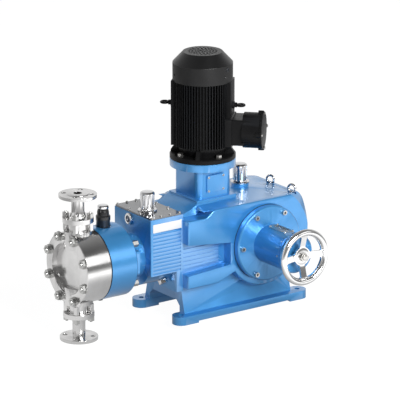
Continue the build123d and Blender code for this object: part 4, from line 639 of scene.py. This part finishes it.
def add_world(even_light):
    """Even light from all round, white to the camera, and a backdrop with dark parts in reflections"""
    world = bpy.data.worlds.new("Studio")
    bpy.context.scene.world = world
    world.use_nodes = True
    tree = world.node_tree
    background = tree.nodes["Background"]
    background.inputs["Color"].default_value = (1, 1, 1, 1)
    rays = tree.nodes.new("ShaderNodeLightPath")
    seen = maths(tree, "MAXIMUM", rays.outputs["Is Camera Ray"], rays.outputs["Is Glossy Ray"])
    seen = maths(tree, "MAXIMUM", seen, rays.outputs["Is Transmission Ray"])
    unseen = maths(tree, "SUBTRACT", 1.0, seen)
    direction = node_of(tree, "ShaderNodeSeparateXYZ",
                        Vector=tree.nodes.new("ShaderNodeTexCoord").outputs["Generated"])
    backdrop = ranged(tree, direction.outputs["Z"], *BACKDROP_BY_HEIGHT)
    dimmed = maths(tree, "SUBTRACT", 1.0, ranged(tree, direction.outputs["Y"], *BACKDROP_BY_DEPTH))
    dimmed = maths(tree, "MULTIPLY", ranged(tree, direction.outputs["Z"], *ABOVE_HORIZON), dimmed)
    front = maths(tree, "SUBTRACT", 1.0, dimmed)
    backdrop = maths(tree, "MULTIPLY", backdrop, maths(tree, "MAXIMUM", front, rays.outputs["Is Camera Ray"]))
    strength = maths(tree, "ADD", maths(tree, "MULTIPLY", seen, backdrop),
                     maths(tree, "MULTIPLY", unseen, even_light))
    tree.links.new(strength, background.inputs["Strength"])


def pale_surface(name, albedo, glow):
    """A pale material that keeps shadows, white to the camera, with painted shade and painted light by place
    in reflections
    """
    material = bpy.data.materials.new(name)
    material.use_nodes = True
    tree = material.node_tree
    tree.nodes.remove(tree.nodes["Principled BSDF"])
    rays = tree.nodes.new("ShaderNodeLightPath")
    mirrored = maths(tree, "MAXIMUM", rays.outputs["Is Glossy Ray"], rays.outputs["Is Transmission Ray"])
    position = tree.nodes.new("ShaderNodeNewGeometry").outputs["Position"]
    reach = node_of(tree, "ShaderNodeVectorMath", Vector=position)
    reach.operation = "LENGTH"
    depth = node_of(tree, "ShaderNodeSeparateXYZ", Vector=position).outputs["Y"]
    # Painted shade near the pump and far off, painted light in front: the floor's glow in reflections dims or
    # brightens by place
    for value, shading in ((reach.outputs["Value"], FLOOR_FAR_SHADE), (reach.outputs["Value"], FLOOR_NEAR_SHADE),
                           (depth, FLOOR_FRONT_LIGHT)):
        mirrored = maths(tree, "MULTIPLY", mirrored, ranged(tree, value, *shading))
    seen = maths(tree, "ADD", rays.outputs["Is Camera Ray"], mirrored)
    matt = node_of(tree, "ShaderNodeBsdfDiffuse", Color=(albedo, albedo, albedo, 1.0))
    shine = node_of(tree, "ShaderNodeEmission", Color=(1, 1, 1, 1),
                    Strength=maths(tree, "MULTIPLY", seen, glow))
    both = tree.nodes.new("ShaderNodeAddShader")
    tree.links.new(matt.outputs[0], both.inputs[0])
    tree.links.new(shine.outputs[0], both.inputs[1])
    tree.links.new(both.outputs[0], tree.nodes["Material Output"].inputs["Surface"])
    return material


def stage_object(name, work, material):
    """A stage object from a bmesh"""
    mesh = bpy.data.meshes.new(name)
    work.to_mesh(mesh)
    work.free()
    made = bpy.data.objects.new(name, mesh)
    bpy.context.scene.collection.objects.link(made)
    made.data.materials.append(material)
    return made


def softbox(name, power, size, place, aim):
    """A rectangular area lamp that faces the pump"""
    lamp = bpy.data.lights.new(name, "AREA")
    lamp.shape, lamp.energy = "RECTANGLE", power
    lamp.size, lamp.size_y = size
    made = bpy.data.objects.new(name, lamp)
    bpy.context.scene.collection.objects.link(made)
    made.location = place
    made.rotation_euler = (aim - Vector(place)).to_track_quat("-Z", "Y").to_euler()


# Operators


class PUMP_OT_finishes(Operator):
    """Makes every paint, metal and plastic of the pump"""

    bl_idname = "pump.finishes"
    bl_label = "Finishes"

    def execute(self, context):
        make_finishes()
        return {"FINISHED"}


class PUMP_OT_castings(Operator):
    """Adds the blue enamelled castings"""

    bl_idname = "pump.castings"
    bl_label = "Castings"

    def execute(self, context):
        wide, fine = sizes().cast_edge, sizes().turned_edge
        for node, radius in (
                ("gearbox_housing", wide), ("motor_adapter", wide), ("hydraulic_chamber", wide * 0.5),
                ("intermediate_disc", wide * 0.5), ("adjuster_housing", fine), ("adjuster_end_cap", fine),
                ("rear_bearing_cover", wide * 0.5), ("adapter_cover_plate", fine * 0.6)):
            eased(node, "blue_enamel", radius)
        plate = at(CHAMBER.high.x - PLATE_GAP_X - PLATE_SIZE[0] / 2, CHAMBER.low.y - PLATE_SIZE[1] / 2,
                   CHAMBER.high.z - PLATE_GAP_Z - PLATE_SIZE[2] / 2)
        blocks("blank_plate", PLATE_SIZE, [plate], "blank_plate", 0.35 * MM)
        spun("adjuster_flange_seal", FLANGE_SEAL, facing((ADJUSTER_X, ADJUSTER_SEAT_Y, AXIS_Z), -Y),
             "seal_rubber", steps=96)
        return {"FINISHED"}


class PUMP_OT_motor(Operator):
    """Adds the motor's finned frame, end shield, cowl and terminal box"""

    bl_idname = "pump.motor"
    bl_label = "Motor"

    def execute(self, context):
        fine = sizes().sheet_edge
        eased("motor_end_shield", "motor_enamel", fine * 1.5)
        eased("motor_frame", "motor_enamel", fine, steps=2)
        eased("terminal_box", "motor_enamel", fine * 1.5)
        eased("terminal_cover", "motor_enamel", fine * 1.5)
        eased("fan_cowl", "cowl_powder", fine)
        coated(["motor_lifting_eyes"], "motor_enamel")
        coated(["fan"], "fan_moulding")
        cowl_r = COWL.high.y - COWL_SINK
        spun_set("cowl_screw", COWL_SCREW,
                 round_places((MOTOR_X, 0, COWL.low.z + COWL_SCREW_RISE), X, Y, cowl_r, COWL_SCREW_ANGLES),
                 "black_valve", steps=24)
        grommet = round_places((MOTOR_X, 0, COWL.low.z + GROMMET_RISE), X, Y, cowl_r, [GROMMET_ANGLE])[0]
        spun("cowl_grommet", GROMMET, grommet, "seal_rubber", steps=32)
        return {"FINISHED"}


class PUMP_OT_wet_end(Operator):
    """Adds the stainless pump head, valve bodies and pipe flanges"""

    bl_idname = "pump.wet_end"
    bl_label = "Wet end"

    def execute(self, context):
        fine = sizes().turned_edge
        eased("pump_head", "head_steel", fine)
        for side in ("discharge", "suction"):
            eased(side + "_valve_body", "flange_steel", fine)
            eased(side + "_connection", "flange_steel", fine * 0.8)
            coated([side + "_seat"], "flange_steel")
        coated(["support_plate"], "head_steel")
        coated(["diaphragm"], "seal_rubber")
        coated(["discharge_ball", "suction_ball"], "bright_plate")
        return {"FINISHED"}


class PUMP_OT_fasteners(Operator):
    """Adds the bolts, nuts and screws"""

    bl_idname = "pump.fasteners"
    bl_label = "Fasteners"

    def execute(self, context):
        edge = sizes().screw_edge
        for node in ("head_bolts", "discharge_bolts", "suction_bolts"):
            eased(node, "bolt_steel", edge * 1.5, steps=2)
        eased("disc_bolts", "bolt_steel", edge * 1.5, steps=2)
        spun_set("head_washer", HEAD_WASHER,
                 round_places((HEAD.low.x + HEAD_FACE_SETBACK, 0, AXIS_Z), Y, Z, HEAD_BOLT_R,
                              even_turns(HEAD_BOLT_COUNT, HEAD_BOLT_FIRST_TURN), -X),
                 "bolt_steel", steps=32)
        for node in ("adapter_cover_screws", "reservoir_cover_screws", "rear_cover_screws",
                     "terminal_cover_screws", "motor_flange_bolts", "adjuster_screws"):
            eased(node, "screw_steel", edge * 0.6, steps=2)
        # Black discs on the adjuster screws paint the shade inside their hex sockets
        spun_set("adjuster_socket", SOCKET_SHADE,
                 round_places((ADJUSTER_X, ADJUSTER_SCREW_FACE_Y, AXIS_Z), X, Z, ADJUSTER_SCREW_R,
                              even_turns(ADJUSTER_SCREW_COUNT), -Y),
                 "seal_rubber", steps=6)
        eased("handwheel_nut", "screw_steel", edge, steps=2, body="adjusting_wheel")
        return {"FINISHED"}


class PUMP_OT_fittings(Operator):
    """Adds breathers, lifting eyes, plugs, the sight glass and the relief valve"""

    bl_idname = "pump.fittings"
    bl_label = "Fittings"

    def execute(self, context):
        edge = sizes().screw_edge
        for node in (*BREATHERS, "relief_valve_cap", "sight_glass", "drain_plug"):
            eased(node, "bright_plate", edge * 1.5)
        for node in ("relief_valve", "disc_plug"):
            eased(node, "black_valve", edge * 1.5)
        coated(["casing_lifting_eyes"], "bright_plate")
        eased("reservoir_cover", "cover_sheet", edge)
        for node in BREATHERS:
            seat = Box(node)
            spun(node + "_base", BREATHER_BASE, at(seat.middle.x, seat.middle.y, seat.low.z),
                 "bright_plate")
        spun("sight_glass_lens", GLASS_LENS,
             facing((SIGHT_GLASS.high.x, SIGHT_GLASS.middle.y, SIGHT_GLASS.middle.z), -X),
             "oil_lens", steps=48)
        return {"FINISHED"}


class PUMP_OT_handwheel(Operator):
    """Adds the polished stroke handwheel"""

    bl_idname = "pump.handwheel"
    bl_label = "Handwheel"

    def execute(self, context):
        eased("handwheel", "polished_wheel", sizes().turned_edge * 2, body="adjusting_wheel")
        coated(["adjusting_spindle"], "machined_steel")
        return {"FINISHED"}


class PUMP_OT_scale(Operator):
    """Adds the stroke scale with its window and pointer"""

    bl_idname = "pump.scale"
    bl_label = "Stroke scale"

    def execute(self, context):
        eased("scale_window", "screw_steel", sizes().screw_edge * 0.5, steps=2)
        coated(["scale_pointer"], "screw_steel")
        middle_y = SCALE_WINDOW.middle.y
        pane = at(ADJUSTER_X, middle_y, AXIS_Z + SCALE_R - PANE_DEPTH)
        blocks("scale_pane", PANE_SIZE, [pane], "clear_pane", 0.2 * MM)
        tick_z = AXIS_Z + math.sqrt(SCALE_R ** 2 - TICK_X ** 2) + TICK_LIFT
        lean = math.degrees(math.asin(TICK_X / SCALE_R))
        first_y = middle_y - (TICK_COUNT - 1) / 2 * TICK_PITCH
        ticks = [at(ADJUSTER_X + side * TICK_X, first_y + number * TICK_PITCH, tick_z, "Y", side * lean)
                 for side in (-1, 1) for number in range(TICK_COUNT)]
        blocks("scale_ticks", TICK_SIZE, ticks, "tick_ink", 0.05 * MM)
        spun_set("set_screw", SET_SCREW,
                 round_places((ADJUSTER_X, ADJUSTER.low.y + SET_SCREW_INSET, AXIS_Z), X, Z, TUBE_R,
                              even_turns(SET_SCREW_COUNT)),
                 "screw_steel", steps=24)
        screw_x = SCALE_WINDOW.high.x - ADJUSTER_X - SCALE_SCREW_INSET_X
        screw_y = SCALE_WINDOW.high.y - middle_y - SCALE_SCREW_INSET_Y
        screws = []
        for side in (-1, 1):
            outward = Vector((side * screw_x, 0, math.sqrt(SCALE_R ** 2 - screw_x ** 2)))
            for end in (-1, 1):
                spot = Vector((ADJUSTER_X, middle_y + end * screw_y, AXIS_Z)) + outward
                screws.append(facing(spot, outward))
        spun_set("scale_screw", SCALE_SCREW, screws, "screw_steel", steps=24)
        return {"FINISHED"}


class PUMP_OT_inner_works(Operator):
    """Gives the pieces inside the castings their finishes"""

    bl_idname = "pump.inner_works"
    bl_label = "Inner works"

    def execute(self, context):
        coated(["rotor_shaft", "coupling", "worm_shaft", "eccentric_shaft", "shaft_bearings",
                "plunger", "plunger_sleeve", "stator"], "machined_steel")
        coated(["crosshead_yoke"], "raw_iron")
        coated(["worm_wheel"], "wheel_bronze")
        return {"FINISHED"}


class PUMP_OT_stage(Operator):
    """Adds the pale floor, the soft studio light and the camera"""

    bl_idname = "pump.stage"
    bl_label = "Stage"

    def execute(self, context):
        stage = context.scene.pump_stage
        aim = Vector(stage.aim)
        add_camera(stage, aim)
        add_floor()
        add_world(stage.world_light)
        for name, power, size, place in SOFTBOXES:
            softbox(name, getattr(stage, power), size, place, aim)
        context.scene.view_settings.view_transform = "Standard"
        return {"FINISHED"}


class PUMP_PT_panel(Panel):
    """Lists the pump's settings and pieces"""

    bl_idname = "PUMP_PT_panel"
    bl_label = "Metering pump"
    bl_space_type = "VIEW_3D"
    bl_region_type = "UI"
    bl_category = "Pump"

    def draw(self, context):
        for settings in (context.scene.pump_colours, context.scene.pump_sizes, context.scene.pump_stage):
            box = self.layout.box()
            for name in type(settings).__annotations__:
                box.prop(settings, name)
        for operator in OPERATORS:
            self.layout.operator(operator.bl_idname)


SETTINGS = (PumpColours, PumpSizes, StageSizes)
OPERATORS = (
    PUMP_OT_finishes, PUMP_OT_castings, PUMP_OT_motor, PUMP_OT_wet_end, PUMP_OT_fasteners, PUMP_OT_fittings,
    PUMP_OT_handwheel, PUMP_OT_scale, PUMP_OT_inner_works, PUMP_OT_stage)


def register():
    for kind in (*SETTINGS, *OPERATORS, PUMP_PT_panel):
        bpy.utils.register_class(kind)
    bpy.types.Scene.pump_colours = PointerProperty(type=PumpColours)
    bpy.types.Scene.pump_sizes = PointerProperty(type=PumpSizes)
    bpy.types.Scene.pump_stage = PointerProperty(type=StageSizes)


def unregister():
    del bpy.types.Scene.pump_stage
    del bpy.types.Scene.pump_sizes
    del bpy.types.Scene.pump_colours
    for kind in reversed((*SETTINGS, *OPERATORS, PUMP_PT_panel)):
        bpy.utils.unregister_class(kind)


def main():
    register()
    for operator in OPERATORS:
        group_name, call_name = operator.bl_idname.split(".")
        getattr(getattr(bpy.ops, group_name), call_name)()


if __name__ == "__main__":
    main()
